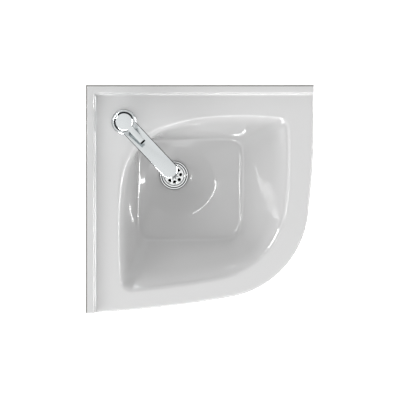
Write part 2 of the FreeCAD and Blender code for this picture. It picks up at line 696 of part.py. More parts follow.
# --- Tap body and spout --------------------------------------------------------------------------
def spout_blank():
    """The flat spout: level top, underside rising to the tip, half-round end."""
    half = SPOUT_WIDTH / 2
    tip_centre = SPOUT_REACH - half
    low = SPOUT_TOP - SPOUT_ROOT_THICKNESS
    plan = Part.Wire([
        Part.makeLine(V(0, half, 0), V(0, -half, 0)),
        Part.makeLine(V(0, -half, 0), V(tip_centre, -half, 0)),
        Part.Arc(V(tip_centre, -half, 0), V(SPOUT_REACH, 0, 0), V(tip_centre, half, 0)).toShape(),
        Part.makeLine(V(tip_centre, half, 0), V(0, half, 0)),
    ])
    slab = prism(plan, low, SPOUT_TOP)
    top = [e for e in slab.Edges if e.BoundBox.ZMin > SPOUT_TOP - TINY and e.BoundBox.XMax > TINY]
    slab = slab.makeChamfer(SPOUT_EDGE, top)
    under = [(0, low), (SPOUT_REACH, low), (SPOUT_REACH, SPOUT_TOP - SPOUT_TIP_THICKNESS)]
    wedge = Part.Face(Part.makePolygon([V(x, -half - PAST, z) for x, z in under + under[:1]]))
    return slab.cut(wedge.extrude(V(0, SPOUT_WIDTH + 2 * PAST, 0)))


def aerator_x():
    return SPOUT_REACH - SPOUT_WIDTH / 2


def aerator_bottom():
    """Height of the spout's underside at the aerator's inner edge, its lowest part there."""
    slope = (SPOUT_ROOT_THICKNESS - SPOUT_TIP_THICKNESS) / SPOUT_REACH
    return SPOUT_TOP - SPOUT_ROOT_THICKNESS + slope * (aerator_x() - AERATOR_RADIUS)


def spout_tube(x_low, room):
    """The tube on the spout's root, or with room the hole that it is brazed into."""
    return lying_x(WATERWAY_RADIUS + SPIGOT_TUBE_WALL + room, x_low, BODY_RADIUS + PAST, WATERWAY_Z)


def tap_spout():
    spout = spout_blank().cut(cylinder(BODY_RADIUS + SEATED, 0, SPOUT_TOP + PAST))
    spout = spout.fuse(spout_tube(SPIGOT_TUBE_X, 0))
    return spout.cut([
        cylinder(AERATOR_RADIUS, 0, aerator_bottom() + AERATOR_HEIGHT, aerator_x()),
        lying_x(WATERWAY_RADIUS, 0, aerator_x(), WATERWAY_Z),
    ]).removeSplitter()


def tap_body():
    foot_top = FOOT_Z + FOOT_HEIGHT
    body = turned([
        (0, FOOT_Z), (FOOT_OUTER_RADIUS, FOOT_Z), (FOOT_OUTER_RADIUS, FOOT_Z + FOOT_RIM),
        (BODY_RADIUS + FOOT_STEP, foot_top), (BODY_RADIUS, foot_top), (BODY_RADIUS, BODY_TOP),
        (0, BODY_TOP),
    ])
    nut_floor = HOUSING_TOP - NUT_SKIRT
    cuts = [
        cylinder(CARTRIDGE_RADIUS + CARTRIDGE_GAP, CHAMBER_FLOOR, BODY_TOP),
        cylinder(NUT_THREAD_RADIUS, nut_floor, BODY_TOP),
        cylinder(FOOT_RECESS_RADIUS, FOOT_Z, FOOT_Z + FOOT_RECESS),
        cylinder(OUTLET_RADIUS, WATERWAY_Z, CHAMBER_FLOOR, OUTLET_X),
        lying_x(WATERWAY_RADIUS, OUTLET_X, SPIGOT_TUBE_X, WATERWAY_Z),
        spout_tube(SPIGOT_TUBE_X - SEATED, SEATED),
        cylinder(STUD_RADIUS + SEATED, FOOT_Z, FOOT_Z + FOOT_RECESS + STUD_ENGAGE, STUD_X),
    ]
    for side in (1, -1):
        y = side * INLET_SPREAD
        port_top = FOOT_Z + FOOT_RECESS + INLET_LENGTH
        cuts.append(cylinder(INLET_RADIUS, FOOT_Z, port_top, INLET_X, y))
        cuts.append(cylinder(FEED_RADIUS, port_top, CHAMBER_FLOOR - PORT_LENGTH, INLET_X, y))
        cuts.append(cylinder(PORT_RADIUS, port_top, CHAMBER_FLOOR, INLET_X, y))
    return body.cut(cuts).removeSplitter()


def tap_base_seal():
    return ring(FOOT_OUTER_RADIUS - BASE_SEAL_INSET, TAP_HOLE_RADIUS, 0, BASE_SEAL_THICKNESS)


# --- Aerator -------------------------------------------------------------------------------------
def aerator_levels():
    bottom = aerator_bottom() - AERATOR_DROP
    top = aerator_bottom() + AERATOR_HEIGHT - AERATOR_SEAL
    return bottom, top


def aerator_ring():
    bottom, top = aerator_levels()
    outer = AERATOR_RADIUS - SEATED
    inner = outer - AERATOR_WALL
    shell = cylinder(outer, bottom, top).cut(cylinder(inner, bottom + AERATOR_LIP, top))
    shell = shell.cut(cylinder(inner - AERATOR_LIP, bottom, bottom + AERATOR_LIP))
    shell.translate(V(aerator_x(), 0, 0))
    return shell


def aerator_insert():
    bottom, top = aerator_levels()
    places = [(0, 0)]
    for circle, count in zip(AERATOR_CIRCLES, AERATOR_CIRCLE_HOLES):
        for i in range(count):
            angle = 2 * math.pi * i / count
            places.append((circle * math.cos(angle), circle * math.sin(angle)))
    core = cylinder(AERATOR_RADIUS - AERATOR_WALL - 2 * SEATED, bottom + AERATOR_LIP, top)
    core = core.cut([cylinder(AERATOR_HOLE_RADIUS, bottom, top + PAST, x, y) for x, y in places])
    core.translate(V(aerator_x(), 0, 0))
    return core


def aerator_washer():
    top = aerator_levels()[1]
    inner = AERATOR_RADIUS - AERATOR_WASHER_WIDTH
    return ring(AERATOR_RADIUS - SEATED, inner, top, top + AERATOR_SEAL, aerator_x())


# --- Cartridge -----------------------------------------------------------------------------------
def port_places():
    return [(INLET_X, INLET_SPREAD, PORT_RADIUS), (INLET_X, -INLET_SPREAD, PORT_RADIUS),
            (OUTLET_X, 0.0, OUTLET_RADIUS)]


def cartridge_base():
    top = CHAMBER_FLOOR + CARTRIDGE_BASE_HEIGHT
    plate = cylinder(CARTRIDGE_RADIUS, CHAMBER_FLOOR, top)
    cuts = []
    for x, y, radius in port_places():
        cuts.append(cylinder(radius, CHAMBER_FLOOR, top, x, y))
        cuts.append(cylinder(radius + SEAL_WALL, CHAMBER_FLOOR, CHAMBER_FLOOR + SEAL_HEIGHT, x, y))
    return plate.cut(cuts)


def cartridge_seals():
    top = CHAMBER_FLOOR + SEAL_HEIGHT
    return Part.makeCompound([
        ring(radius + SEAL_WALL - SEATED, radius, CHAMBER_FLOOR, top, x, y)
        for x, y, radius in port_places()
    ])


def fixed_disc():
    disc = cylinder(FIXED_DISC_RADIUS, FIXED_DISC_LOW, FIXED_DISC_TOP)
    return disc.cut([
        cylinder(radius, FIXED_DISC_LOW, FIXED_DISC_TOP, x, y) for x, y, radius in port_places()
    ])


def ball_x():
    """Where the stem's ball stands along the spout with the tap shut."""
    return -STEM_ARM * math.sin(math.radians(STEM_LEAN))


def moving_disc():
    disc = cylinder(MOVING_DISC_RADIUS, MOVING_DISC_LOW, MOVING_DISC_TOP, ball_x())
    pocket = box(ball_x() - DISC_POCKET_BACK, ball_x() + DISC_POCKET_FRONT,
                 -DISC_POCKET_WIDTH / 2, DISC_POCKET_WIDTH / 2,
                 MOVING_DISC_LOW, MOVING_DISC_LOW + DISC_POCKET_DEPTH)
    return disc.cut(pocket)


def disc_holder():
    low = MOVING_DISC_TOP
    high = low + DISC_HOLDER_HEIGHT
    x = ball_x()
    holder = cylinder(DISC_HOLDER_RADIUS, low, high, x)
    tongue = box(x - TONGUE_REACH, x + TONGUE_REACH, -TONGUE_WIDTH / 2, TONGUE_WIDTH / 2,
                 high, high + TONGUE_HEIGHT)
    socket = cylinder(BALL_RADIUS + FREE, low, high + TONGUE_HEIGHT, x)
    return holder.fuse(tongue).cut(socket).removeSplitter()


def carrier_levels():
    low = MOVING_DISC_TOP + DISC_HOLDER_HEIGHT + FREE
    shoulder = HOUSING_TOP - HOUSING_LIP - FREE
    return low, shoulder, HOUSING_TOP + CARRIER_PROUD


def carrier():
    """The turning part of the cartridge. It holds the pivot pin and guides the disc holder."""
    low, shoulder, top = carrier_levels()
    solid = cylinder(HOUSING_BORE - FREE, low, shoulder).fuse(
        cylinder(HOUSING_LIP_BORE - FREE, shoulder, top))
    groove = box(-HOUSING_BORE, HOUSING_BORE, -TONGUE_WIDTH / 2 - FREE, TONGUE_WIDTH / 2 + FREE,
                 low, low + TONGUE_HEIGHT)
    half = STEM_WIDTH / 2 + FREE
    waist = half + WINDOW_ROOM
    swing = math.tan(math.radians(max(STEM_LEAN, LIFT_RANGE - STEM_LEAN)))
    reach_low = (PIVOT_Z - low) * swing + waist
    reach_top = (top - PIVOT_Z) * swing + waist
    outline = [(-reach_low, low), (reach_low, low), (waist, PIVOT_Z),
               (reach_top, top), (-reach_top, top), (-waist, PIVOT_Z)]
    face = Part.Face(Part.makePolygon([V(x, -half, z) for x, z in outline + outline[:1]]))
    window = face.extrude(V(0, 2 * half, 0))
    pin_hole = lying_y(PIN_RADIUS + SEATED, 2 * HOUSING_BORE, PIVOT_Z)
    return solid.cut([groove, window, pin_hole]).removeSplitter()


def pivot_pin():
    return lying_y(PIN_RADIUS, PIN_LENGTH, PIVOT_Z)


def cartridge_housing():
    lip = HOUSING_TOP - HOUSING_LIP
    shell = cylinder(CARTRIDGE_RADIUS, FIXED_DISC_LOW, HOUSING_TOP)
    return shell.cut([
        cylinder(HOUSING_BORE, FIXED_DISC_LOW, lip), cylinder(HOUSING_LIP_BORE, lip, HOUSING_TOP)
    ])


def cartridge_nut():
    outer = NUT_THREAD_RADIUS - SEATED
    nut = cylinder(outer, HOUSING_TOP - NUT_SKIRT + FREE, BODY_TOP).cut([
        cylinder(CARTRIDGE_RADIUS + SEATED, 0, HOUSING_TOP), cylinder(NUT_BORE, HOUSING_TOP, BODY_TOP)
    ])
    notch = box(NUT_BORE - PAST, outer - NOTCH_RIM, -NOTCH_WIDTH / 2, NOTCH_WIDTH / 2,
                BODY_TOP - NOTCH_DEPTH, BODY_TOP)
    return nut.cut([about_z(notch, turn) for turn in (0, 90, 180, 270)])


# --- Stem, dome and lever ------------------------------------------------------------------------
def leaned(shape):
    """From upright to the stem's lean towards the spout, about the pivot."""
    moved = shape.copy()
    moved.rotate(V(0, 0, PIVOT_Z), V(0, 1, 0), STEM_LEAN)
    return moved


def stem_top():
    """The upright stem's upper end, so that its leaned corner stays under the lever's top."""
    lean = math.radians(STEM_LEAN)
    rise = CAP_TOP - STEM_TOP_COVER - PIVOT_Z - STEM_WIDTH / 2 * math.sin(lean)
    return PIVOT_Z + rise / math.cos(lean)


def stem_face_x(z):
    """The rear face of the leaned stem, at a height."""
    lean = math.radians(STEM_LEAN)
    return (z - PIVOT_Z) * math.tan(lean) - STEM_WIDTH / 2 / math.cos(lean)


def lever_stem():
    half = STEM_WIDTH / 2
    ball_z = PIVOT_Z - STEM_ARM
    block_low = PIVOT_Z - STEM_BLOCK
    bar = box(-half, half, -half, half, block_low, stem_top())
    neck = cylinder(NECK_RADIUS, ball_z, block_low)
    ball = Part.makeSphere(BALL_RADIUS, V(0, 0, ball_z))
    hole = lying_y(PIN_RADIUS + RUNNING, STEM_WIDTH + 2 * PAST, PIVOT_Z)
    return leaned(bar.fuse([neck, ball]).cut(hole).removeSplitter())


def dome_cover():
    centre = V(0, 0, PIVOT_Z)
    shell = Part.makeSphere(DOME_RADIUS, centre).cut(Part.makeSphere(DOME_RADIUS - DOME_WALL, centre))
    size = DOME_RADIUS + PAST
    shell = shell.cut(box(-size, size, -size, size, PIVOT_Z - size, BODY_TOP))
    hole = DOME_RADIUS * math.sin(math.radians(DOME_HOLE_ANGLE))
    return shell.cut(cylinder(hole, PIVOT_Z, CAP_TOP))


def cap_underside_z():
    """Where the hollow of the lever's cap meets its rim."""
    hollow = DOME_RADIUS + DOME_GAP
    rim = CAP_RADIUS - CAP_RIM_WALL
    return PIVOT_Z + math.sqrt(hollow ** 2 - rim ** 2)


def lever_blank():
    """Round cap and flat bar with one level top, bevelled round the cap and at the bar's end."""
    half = LEVER_WIDTH / 2
    bar_low = CAP_TOP - LEVER_THICKNESS
    bevel_start = LEVER_REACH - LEVER_END_BEVEL
    side = [(0, bar_low), (LEVER_REACH, bar_low), (LEVER_REACH, CAP_TOP - LEVER_END_BEVEL),
            (bevel_start, CAP_TOP), (0, CAP_TOP)]
    face = Part.Face(Part.makePolygon([V(x, -half, z) for x, z in side + side[:1]]))
    cap = cylinder(CAP_RADIUS, cap_underside_z(), CAP_TOP)
    blank = cap.fuse(face.extrude(V(0, LEVER_WIDTH, 0))).removeSplitter()
    round_edge = [e for e in blank.Edges
                  if e.BoundBox.ZMin > CAP_TOP - TINY and e.BoundBox.XMax < bevel_start - TINY]
    return blank.makeChamfer(CAP_EDGE, round_edge)


def lever_handle():
    socket = STEM_WIDTH / 2 + SEATED
    grub_start = stem_face_x(GRUB_Z) + STEM_WIDTH / 2
    return lever_blank().cut([
        Part.makeSphere(DOME_RADIUS + DOME_GAP, V(0, 0, PIVOT_Z)),
        leaned(box(-socket, socket, -socket, socket, PIVOT_Z, stem_top() + SEATED)),
        lying_x(GRUB_RADIUS + SEATED, -CAP_RADIUS, grub_start, GRUB_Z),
        lying_x(INDEX_RADIUS + SEATED, -CAP_RADIUS - PAST, INDEX_DEPTH - CAP_RADIUS, GRUB_Z),
    ]).removeSplitter()


def grub_screw():
    """Its flat tip touches the nearest part of the leaned stem."""
    nearest = min(stem_face_x(GRUB_Z + GRUB_RADIUS), stem_face_x(GRUB_Z - GRUB_RADIUS))
    tip = nearest - 2 * SEATED
    tail = tip - GRUB_LENGTH
    screw = lying_x(GRUB_RADIUS, tail, tip, GRUB_Z)
    return screw.cut(lying_x(GRUB_KEY_RADIUS, tail, tail + GRUB_KEY_DEPTH, GRUB_Z))


def index_plug():
    plug = lying_x(INDEX_RADIUS, -CAP_RADIUS, INDEX_DEPTH - CAP_RADIUS, GRUB_Z)
    return plug.common(cylinder(CAP_RADIUS, cap_underside_z(), CAP_TOP))


# --- Tap fixing under the deck -------------------------------------------------------------------
def fixing_stud():
    top = FOOT_Z + FOOT_RECESS + STUD_ENGAGE - STUD_END_ROOM
    return cylinder(STUD_RADIUS, DECK_UNDER - STUD_BELOW_DECK, top, STUD_X)


def horseshoe(z_low, z_high):
    """A washer open to the rear, so that the hoses pass beside the stud."""
    plate = cylinder(HORSESHOE_RADIUS, z_low, z_high)
    slot_x = STUD_X - STUD_RADIUS - HORSESHOE_BRIDGE - HORSESHOE_SLOT
    slot = box(-HORSESHOE_RADIUS - PAST, slot_x, -HORSESHOE_SLOT, HORSESHOE_SLOT, z_low, z_high)
    slot = slot.fuse(cylinder(HORSESHOE_SLOT, z_low, z_high, slot_x))
    return plate.cut([slot, cylinder(STUD_RADIUS + FREE, z_low, z_high, STUD_X)])


def rubber_horseshoe():
    return horseshoe(DECK_UNDER - RUBBER_HORSESHOE, DECK_UNDER)


def metal_horseshoe():
    top = DECK_UNDER - RUBBER_HORSESHOE
    return horseshoe(top - METAL_HORSESHOE, top)


def fixing_nut():
    top = DECK_UNDER - RUBBER_HORSESHOE - METAL_HORSESHOE
    low = top - FIXING_NUT_HEIGHT
    corner = FIXING_NUT_FLATS / math.sqrt(3)
    points = [
        V(STUD_X + corner * math.cos(math.pi / 3 * i), corner * math.sin(math.pi / 3 * i), 0)
        for i in range(6)
    ]
    hexagon = prism(Part.makePolygon(points + points[:1]), low, top)
    return hexagon.cut(cylinder(STUD_RADIUS + SEATED, low, top, STUD_X))


# --- The whole object ----------------------------------------------------------------------------
TAP_NODES = {
    "tap_base_seal": tap_base_seal,
    "tap_body": tap_body,
    "tap_spout": tap_spout,
    "aerator_ring": aerator_ring,
    "aerator_insert": aerator_insert,
    "aerator_washer": aerator_washer,
    "cartridge_base": cartridge_base,
    "cartridge_seals": cartridge_seals,
    "fixed_disc": fixed_disc,
    "moving_disc": moving_disc,
    "disc_holder": disc_holder,
    "cartridge_carrier": carrier,
    "pivot_pin": pivot_pin,
    "cartridge_housing": cartridge_housing,
    "cartridge_nut": cartridge_nut,
    "lever_stem": lever_stem,
    "dome_cover": dome_cover,
    "lever_handle": lever_handle,
    "grub_screw": grub_screw,
    "index_plug": index_plug,
    "fixing_stud": fixing_stud,
    "rubber_horseshoe": rubber_horseshoe,
    "metal_horseshoe": metal_horseshoe,
    "fixing_nut": fixing_nut,
}
WASTE_NODES = {
    "waste_grid": waste_grid,
    "waste_screw": waste_screw,
    "waste_top_seal": waste_top_seal,
    "waste_bottom_seal": waste_bottom_seal,
    "waste_tail": waste_tail,
}


def export(name, shape):
    os.makedirs("parts", exist_ok=True)
    shape.exportStep("parts/" + name + ".step")
    print(name, len(shape.Solids), "solid(s)", round(shape.Volume / 1000, 2), "cm3", shape.isValid())


def main():
    export("basin_body", basin_body())
    for name, make in WASTE_NODES.items():
        export(name, waste_placed(make()))
    for name, make in TAP_NODES.items():
        export(name, tap_placed(make()))


main()
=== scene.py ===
import json
import math

import bmesh
import bpy
import numpy as np
from bpy.props import FloatProperty, FloatVectorProperty, IntProperty, PointerProperty
from mathutils import Matrix, Vector


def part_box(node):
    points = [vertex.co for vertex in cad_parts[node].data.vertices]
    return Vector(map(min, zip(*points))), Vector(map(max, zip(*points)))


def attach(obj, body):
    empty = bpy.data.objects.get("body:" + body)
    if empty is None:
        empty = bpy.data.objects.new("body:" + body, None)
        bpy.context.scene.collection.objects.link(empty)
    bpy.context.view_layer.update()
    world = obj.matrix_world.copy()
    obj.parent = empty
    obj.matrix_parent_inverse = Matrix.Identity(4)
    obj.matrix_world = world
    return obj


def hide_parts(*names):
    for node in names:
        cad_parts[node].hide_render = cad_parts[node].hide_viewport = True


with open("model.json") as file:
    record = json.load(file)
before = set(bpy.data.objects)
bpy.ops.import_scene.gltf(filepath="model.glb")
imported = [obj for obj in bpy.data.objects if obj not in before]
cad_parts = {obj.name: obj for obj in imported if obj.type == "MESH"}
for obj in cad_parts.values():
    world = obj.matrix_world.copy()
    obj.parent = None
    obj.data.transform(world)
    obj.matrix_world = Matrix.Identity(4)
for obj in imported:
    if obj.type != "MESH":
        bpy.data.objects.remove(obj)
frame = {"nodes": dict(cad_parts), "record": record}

bl_info = {
    "name": "Corner Basin",
    "version": (1, 0, 0),
    "blender": (4, 5, 0),
    "location": "View3D > Sidebar > Basin",
    "description": "Glazed corner basin with a single-lever mixer tap and a grid waste",
    "category": "Object",
}

# Metres, in the frame of the CAD model: z = 0 is the top of the deck, the Z axis is the room's
# corner, and the basin lies in +X, -Y. Places in plan are complex numbers, x + y*1j.

# --- Plan of the basin ---
WALL_REACH = 0.500
UPSTAND_PAST_BACK = 0.0025
UPSTAND_PAST_SIDE = 0.001
FRONT_CORNER = 0.462 - 0.4335j
FRONT_CORNER_RADIUS = 0.207
FRONT_SIDE_BOWS = (0.0117, 0.0141)
RIM_CORNERS = (0.085 - 0.106j, 0.077 - 0.454j, 0.418 - 0.397j, 0.445 - 0.074j)
RIM_RADII = (0.128, 0.025, 0.180, 0.021)
RIM_BOWS = (0.009, 0.008, 0.012, 0.0204)
WASTE = 0.1936 - 0.1979j
TAP = 0.0836 - 0.0806j

# --- Heights and thicknesses of the china ---
DECK_THICKNESS = 0.012
APRON_DEPTH = 0.058
APRON_FOOT_RADIUS = 0.004
SKIRT_DEPTH = 0.150
SKIRT_STRAIGHT = 0.320
SKIRT_END = 0.480
SKIRT_FOOT_RADIUS = 0.002
CHINA_WALL = 0.011
UPSTAND_BACK_RADIUS = 0.0035
SHADE_EDGE_WIDTH = 0.0022  # painted shade, a dark grey, along the upstand's back edge over this width, in plan,
SHADE_EDGE_ABOVE = 0.008  # and from this height up
OVERHANG_FOOT_RADIUS = 0.0005  # lower edge of the upstand where it stands past the deck
OVERHANG_DROP = 0.001  # and how far under the deck its front edge ends there
COVE_CLEAR = 0.002  # the plates' first section stands this far past the corner's cove
PLATE_ROOT = 0.7  # share of the deck's thickness that the plate's root is let in
PLATE_END_RADIUS = 0.0012
LIP_SPREAD = math.radians(88)  # the lip widens this far to either side of the tap,
CREASE_SPREAD = math.radians(105)  # and the pan's edge softens this far
LIP_FALL = 0.45  # depth of the lip's bend, as a share of its half width
WASTE_HOLE_RADIUS = 0.023
WASTE_RECESS_RADIUS = 0.032
WASTE_SEAT_RADIUS = 0.033
WASTE_RECESS = 0.003
BOSS_RADIUS = 0.038
BOSS_LENGTH = 0.018
TAP_HOLE_RADIUS = 0.0175
FIXING_REACH = 0.280
FIXING_DROP = 0.075
FIXING_HOLE_RADIUS = 0.007

# --- Mesh ---
RAYS = 480  # points in each ring round the bowl
PATH_PART = 240  # points in each side of an outline that the rings are read from
INSIDE_RINGS = 96  # rings from the waste's seat to the deck
OUTSIDE_RINGS = 28  # rings from the deck's underside to the boss
DECK_SHARES = (0.2, 0.45, 0.7, 0.9)  # rings on the deck, between the lip and the front edge
HIDDEN = 0.001  # the deck stops this far inside the plate that stands on the wall
SUNK = 0.00005  # the upstand's cove ends this far under the deck
STRAIGHT_STATIONS = 12  # sections of a wall plate along its straight lower edge
CURVED_STATIONS = 24  # and along its curved end
QUARTER_STEPS = 6  # steps in a quarter turn round an edge
FOOT_STEPS = 3  # and round the smaller edge of a foot
ROUNDING_STEPS = 5  # steps round each corner of a turned profile
TURNED_SEGMENTS = 128
DRILL_SEGMENTS = 64
DRILL_SPAN = (0.01, -0.03)  # a drill runs from this far in front of a face to this far behind it
CHINA_SHARP = math.radians(38)  # an edge stays sharp where faces meet at more than this
METAL_SHARP = math.radians(36)
MERGE_CHINA = 1e-7  # points closer than this are one
MERGE_CAD = 1e-6
FLAT = math.radians(0.4)  # triangles of a CAD node that meet at less than this are one face
FACING = 0.9  # cosine from which a face counts as facing a way
JUST_INSIDE = 1e-9  # a curve is read this far short of its last knot


# --- Colours and sizes that a user would change ---
def srgb(code):
    """Linear RGBA from a hex sRGB colour."""
    parts = [int(code[i:i + 2], 16) / 255 for i in (0, 2, 4)]
    linear = [c / 12.92 if c <= 0.04045 else ((c + 0.055) / 1.055) ** 2.4 for c in parts]
    return (*linear, 1.0)


def length(name, description, default):
    return FloatProperty(name=name, description=description, default=default, unit="LENGTH",
                         precision=4)


def portion(name, description, default):
    return FloatProperty(name=name, description=description, default=default, min=0.01, max=0.5,
                         subtype="FACTOR")


def colour(name, description, code):
    return FloatVectorProperty(name=name, description=description, default=srgb(code), size=4,
                               subtype="COLOR", min=0.0, max=1.0)


class BasinChinaSettings(bpy.types.PropertyGroup):
    bowl_depth: length("Bowl depth", "Top of the deck to the floor at the waste", 0.132)
    floor_fall: length("Floor fall", "Edge of the dish to the waste", 0.014)
    pan_depth: length("Pan depth", "Top of the deck to the pan's edge", 0.106)
    pan_left: length("Pan left", "Waste to the pan's edge on the left and at the back", 0.082)
    pan_right: length("Pan right", "Waste to the pan's edge on the right", 0.152)
    pan_front: length("Pan front", "Waste to the pan's edge at the front", 0.143)
    pan_power: FloatProperty(name="Pan power", default=7.0, min=2.0,
                             description="How square the pan's edge is: 2 is an ellipse")
    pan_soften: FloatProperty(name="Pan soften", default=3.0, min=0.0,
                              description="How much less square it is beside the tap")
    crease: portion("Crease", "Share of the wall and of the pan that their bend takes up", 0.16)
    soft_crease: portion("Soft crease", "The same beside the tap, where the bend is soft", 0.45)
    dish_crease: portion("Dish crease", "Share of pan and dish that their bend takes up", 0.08)
    dish_radius: length("Dish radius", "Circle round the waste where the pan bends down", 0.075)
    dish_shift: length("Dish shift", "Shift of that circle towards the front corner", 0.018)
    lip_narrow: length("Narrow lip", "Half width of the rounded lip, away from the tap", 0.005)
    lip_wide: length("Wide lip", "Half width of the rounded lip, beside the tap", 0.020)
    edge_radius: length("Edge radius", "Rounding of the deck's front edge", 0.005)
    upstand_height: length("Upstand height", "Raised edge along the walls, above the deck",
                           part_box("basin_body")[1].z)
    upstand_thickness: length("Upstand thickness", "Raised edge along the walls, in plan", 0.019)
    upstand_radius: length("Upstand radius", "Rounding of its edge on the basin's side", 0.005)
    cove_radius: length("Cove radius", "Hollow where the raised edge meets the deck", 0.006)
    glaze: colour("Glaze", "Colour of the glazed china on the deck", "DADADA")
    # Painted shade: the glaze colour darkened in the bowl so that the bowl reads darker than the
    # deck.
    glaze_painted_shade: colour("Deep glaze", "Colour of the thicker glaze in the bowl", "D0D0D0")
    # Painted shade: a dark grey line along the raised edges' back edges, against the wall.
    ground_edge: colour("Ground edge", "Colour of the edge ground flat against the wall", "7C7C7A")
    bisque: colour("Bisque", "Colour of the unglazed china against the wall", "D9D2C4")


class BasinWasteSettings(bpy.types.PropertyGroup):
    bead_width: length("Bead width", "Raised ring round the flange", 0.0035)
    groove_width: length("Groove width", "Groove inside the raised ring", 0.0015)
    step_width: length("Step width", "Ring between the groove and the grid", 0.0035)
    step_fall: length("Step fall", "How much lower each ring lies than the one outside it", 0.0012)
    holes: IntProperty(name="Holes", description="Holes in the grid", default=8, min=3, max=16)
    hole_radius: length("Hole radius", "Radius of each hole in the grid", 0.00375)
    hole_circle: length("Hole circle", "Circle that the holes stand on", 0.015)
    hole_turn: FloatProperty(name="Hole turn", description="Angle of the first hole",
                             default=math.radians(5), subtype="ANGLE")


class BasinTapSettings(bpy.types.PropertyGroup):
    edge: length("Edge", "Rounding of the tap's edges", 0.0007)
    lever_edge: length("Lever edge", "Rounding of the lever's edges", 0.0012)
    chrome: colour("Chrome", "Colour of the chrome plate", "DBDFE0")
    # Painted light: the lever's chrome is lighter than the tap's so that the lever reads brighter.
    lever_chrome: colour("Lever chrome", "Colour of the lever's brighter plate", "DEE2E3")
    # Painted light: the waste's chrome is lighter than the tap's so that its bead reads white.
    waste_chrome: colour("Waste chrome", "Colour of the waste's plate", "F2F4F4")
    # Painted shade: near-black plate in the waste's groove, holes, step and round the flange's
    # edge.
    dull: colour("Dulled plate", "Colour of the plate in the waste's grooves and holes", "34373A")
    brass: colour("Brass", "Colour of the bare brass", "C6A15B")
    steel: colour("Steel", "Colour of the stainless and plated steel", "B4B6B8")
    rubber: colour("Rubber", "Colour of the seals", "1E1F20")
    white_plastic: colour("White plastic", "Colour of the white moulded pieces", "E3E2DC")
    grey_plastic: colour("Grey plastic", "Colour of the grey moulded pieces", "787C80")


# --- Nodes and materials ---
NOISE_SPAN = (0.3, 0.7)  # most of a noise lies between these
PAINTED_SHADE_DEPTHS = (0.004, 0.045)  # painted shade: the deck's glaze turns into the darker bowl colour over these depths
METAL = {"Metallic": 1.0}


def add_node(tree, kind, inputs=None, **settings):
    """One node with its settings. An input is a value, or another node's output to link."""
    node = tree.nodes.new(kind)
    for name, value in settings.items():
        setattr(node, name, value)
    for name, value in (inputs or {}).items():
        if isinstance(value, bpy.types.NodeSocket):
            tree.links.new(value, node.inputs[name])
        else:
            node.inputs[name].default_value = value
    return node


def new_material(name):
    material = bpy.data.materials.new(name)
    material.use_nodes = True
    material.node_tree.nodes.clear()
    return material, material.node_tree


def patterned(name, colours, shade, gloss, relief, values=None):
    """A material whose colour, gloss and relief follow noises over the piece's own coordinates.

    Each pattern starts with its lumps per metre, where 1000 are 1 mm apart, and its detail. Then
    come the share by which shade darkens, the lowest and highest roughness of gloss, and the
    strength and height of relief. A second colour, painted shade, takes over with depth."""
    material, tree = new_material(name)
    place = add_node(tree, "ShaderNodeTexCoord").outputs["Object"]
    tint, shine, bumps = [
        add_node(tree, "ShaderNodeTexNoise", {
            "Vector": place, "Scale": lumps, "Detail": detail}).outputs["Fac"]
        for lumps, detail in (shade[:2], gloss[:2], relief[:2])
    ]
    shades = [
        add_node(tree, "ShaderNodeMix", {
            0: tint, 6: (*(c * (1 - shade[2]) for c in colour[:3]), 1.0), 7: tuple(colour)},
            data_type="RGBA").outputs[2]
        for colour in colours
    ]
    if len(shades) > 1:
        # Painted shade: the colour darkens with depth below the deck.
        height = add_node(tree, "ShaderNodeSeparateXYZ", {"Vector": place}).outputs["Z"]
        depth = add_node(tree, "ShaderNodeMapRange", {
            "Value": height, "From Min": -PAINTED_SHADE_DEPTHS[0], "From Max": -PAINTED_SHADE_DEPTHS[1]},
            interpolation_type="SMOOTHSTEP").outputs["Result"]
        painted_shade_by_depth = add_node(tree, "ShaderNodeMix", {0: depth, 6: shades[0], 7: shades[1]},
                          data_type="RGBA")
        shades = [painted_shade_by_depth.outputs[2]]
    roughness = add_node(tree, "ShaderNodeMapRange", {
        "Value": shine, "From Min": NOISE_SPAN[0], "From Max": NOISE_SPAN[1],
        "To Min": gloss[2], "To Max": gloss[3]})
    normal = add_node(tree, "ShaderNodeBump", {
        "Height": bumps, "Strength": relief[2], "Distance": relief[3]})
    shader = add_node(tree, "ShaderNodeBsdfPrincipled", {
        "Base Color": shades[0], "Roughness": roughness.outputs["Result"],
        "Normal": normal.outputs["Normal"], **(values or {})})
    add_node(tree, "ShaderNodeOutputMaterial", {"Surface": shader.outputs["BSDF"]})
    return material


def glazed_china(glaze, glaze_painted_shade):
    """White vitreous china under a clear gloss glaze, whose slow ripple bends the reflections."""
    # The second colour is painted shade, darker in the bowl than on the deck.
    return patterned("glazed_china", (glaze, glaze_painted_shade), (9, 2, 0.015), (60, 2, 0.05, 0.09),
                     (14, 1, 0.02, 0.001), {"IOR": 1.5, "Coat Weight": 0.6, "Coat Roughness": 0.02})


def unglazed_china(bisque):
    """The wall faces and the boss's foot, wiped free of glaze before firing: matt, with a grain."""
    return patterned("unglazed_china", (bisque,), (40, 4, 0.08), (900, 4, 0.75, 0.9),
                     (900, 4, 0.3, 0.0004))


def polished_chrome(name, chrome):
    """Bright chrome plate, with faint wiping marks in its gloss."""
    return patterned(name, (chrome,), (25, 2, 0.02), (140, 5, 0.04, 0.09), (30, 1, 0.02, 0.001),
                     METAL)


def turned_metal(name, base, roughness):
    """Bare metal with fine tool marks that dull its shine."""
    return patterned(name, (base,), (120, 4, 0.10), (1400, 3, *roughness), (1400, 3, 0.15, 0.0002),
                     METAL)


def moulded(name, base, roughness, grain=700):
    """Moulded rubber or plastic, or the painted shade along the raised edges' back edges, with a
    fine even grain.
    """
    return patterned(name, (base,), (80, 2, 0.06), (grain, 3, *roughness), (grain, 3, 0.12, 0.0002))


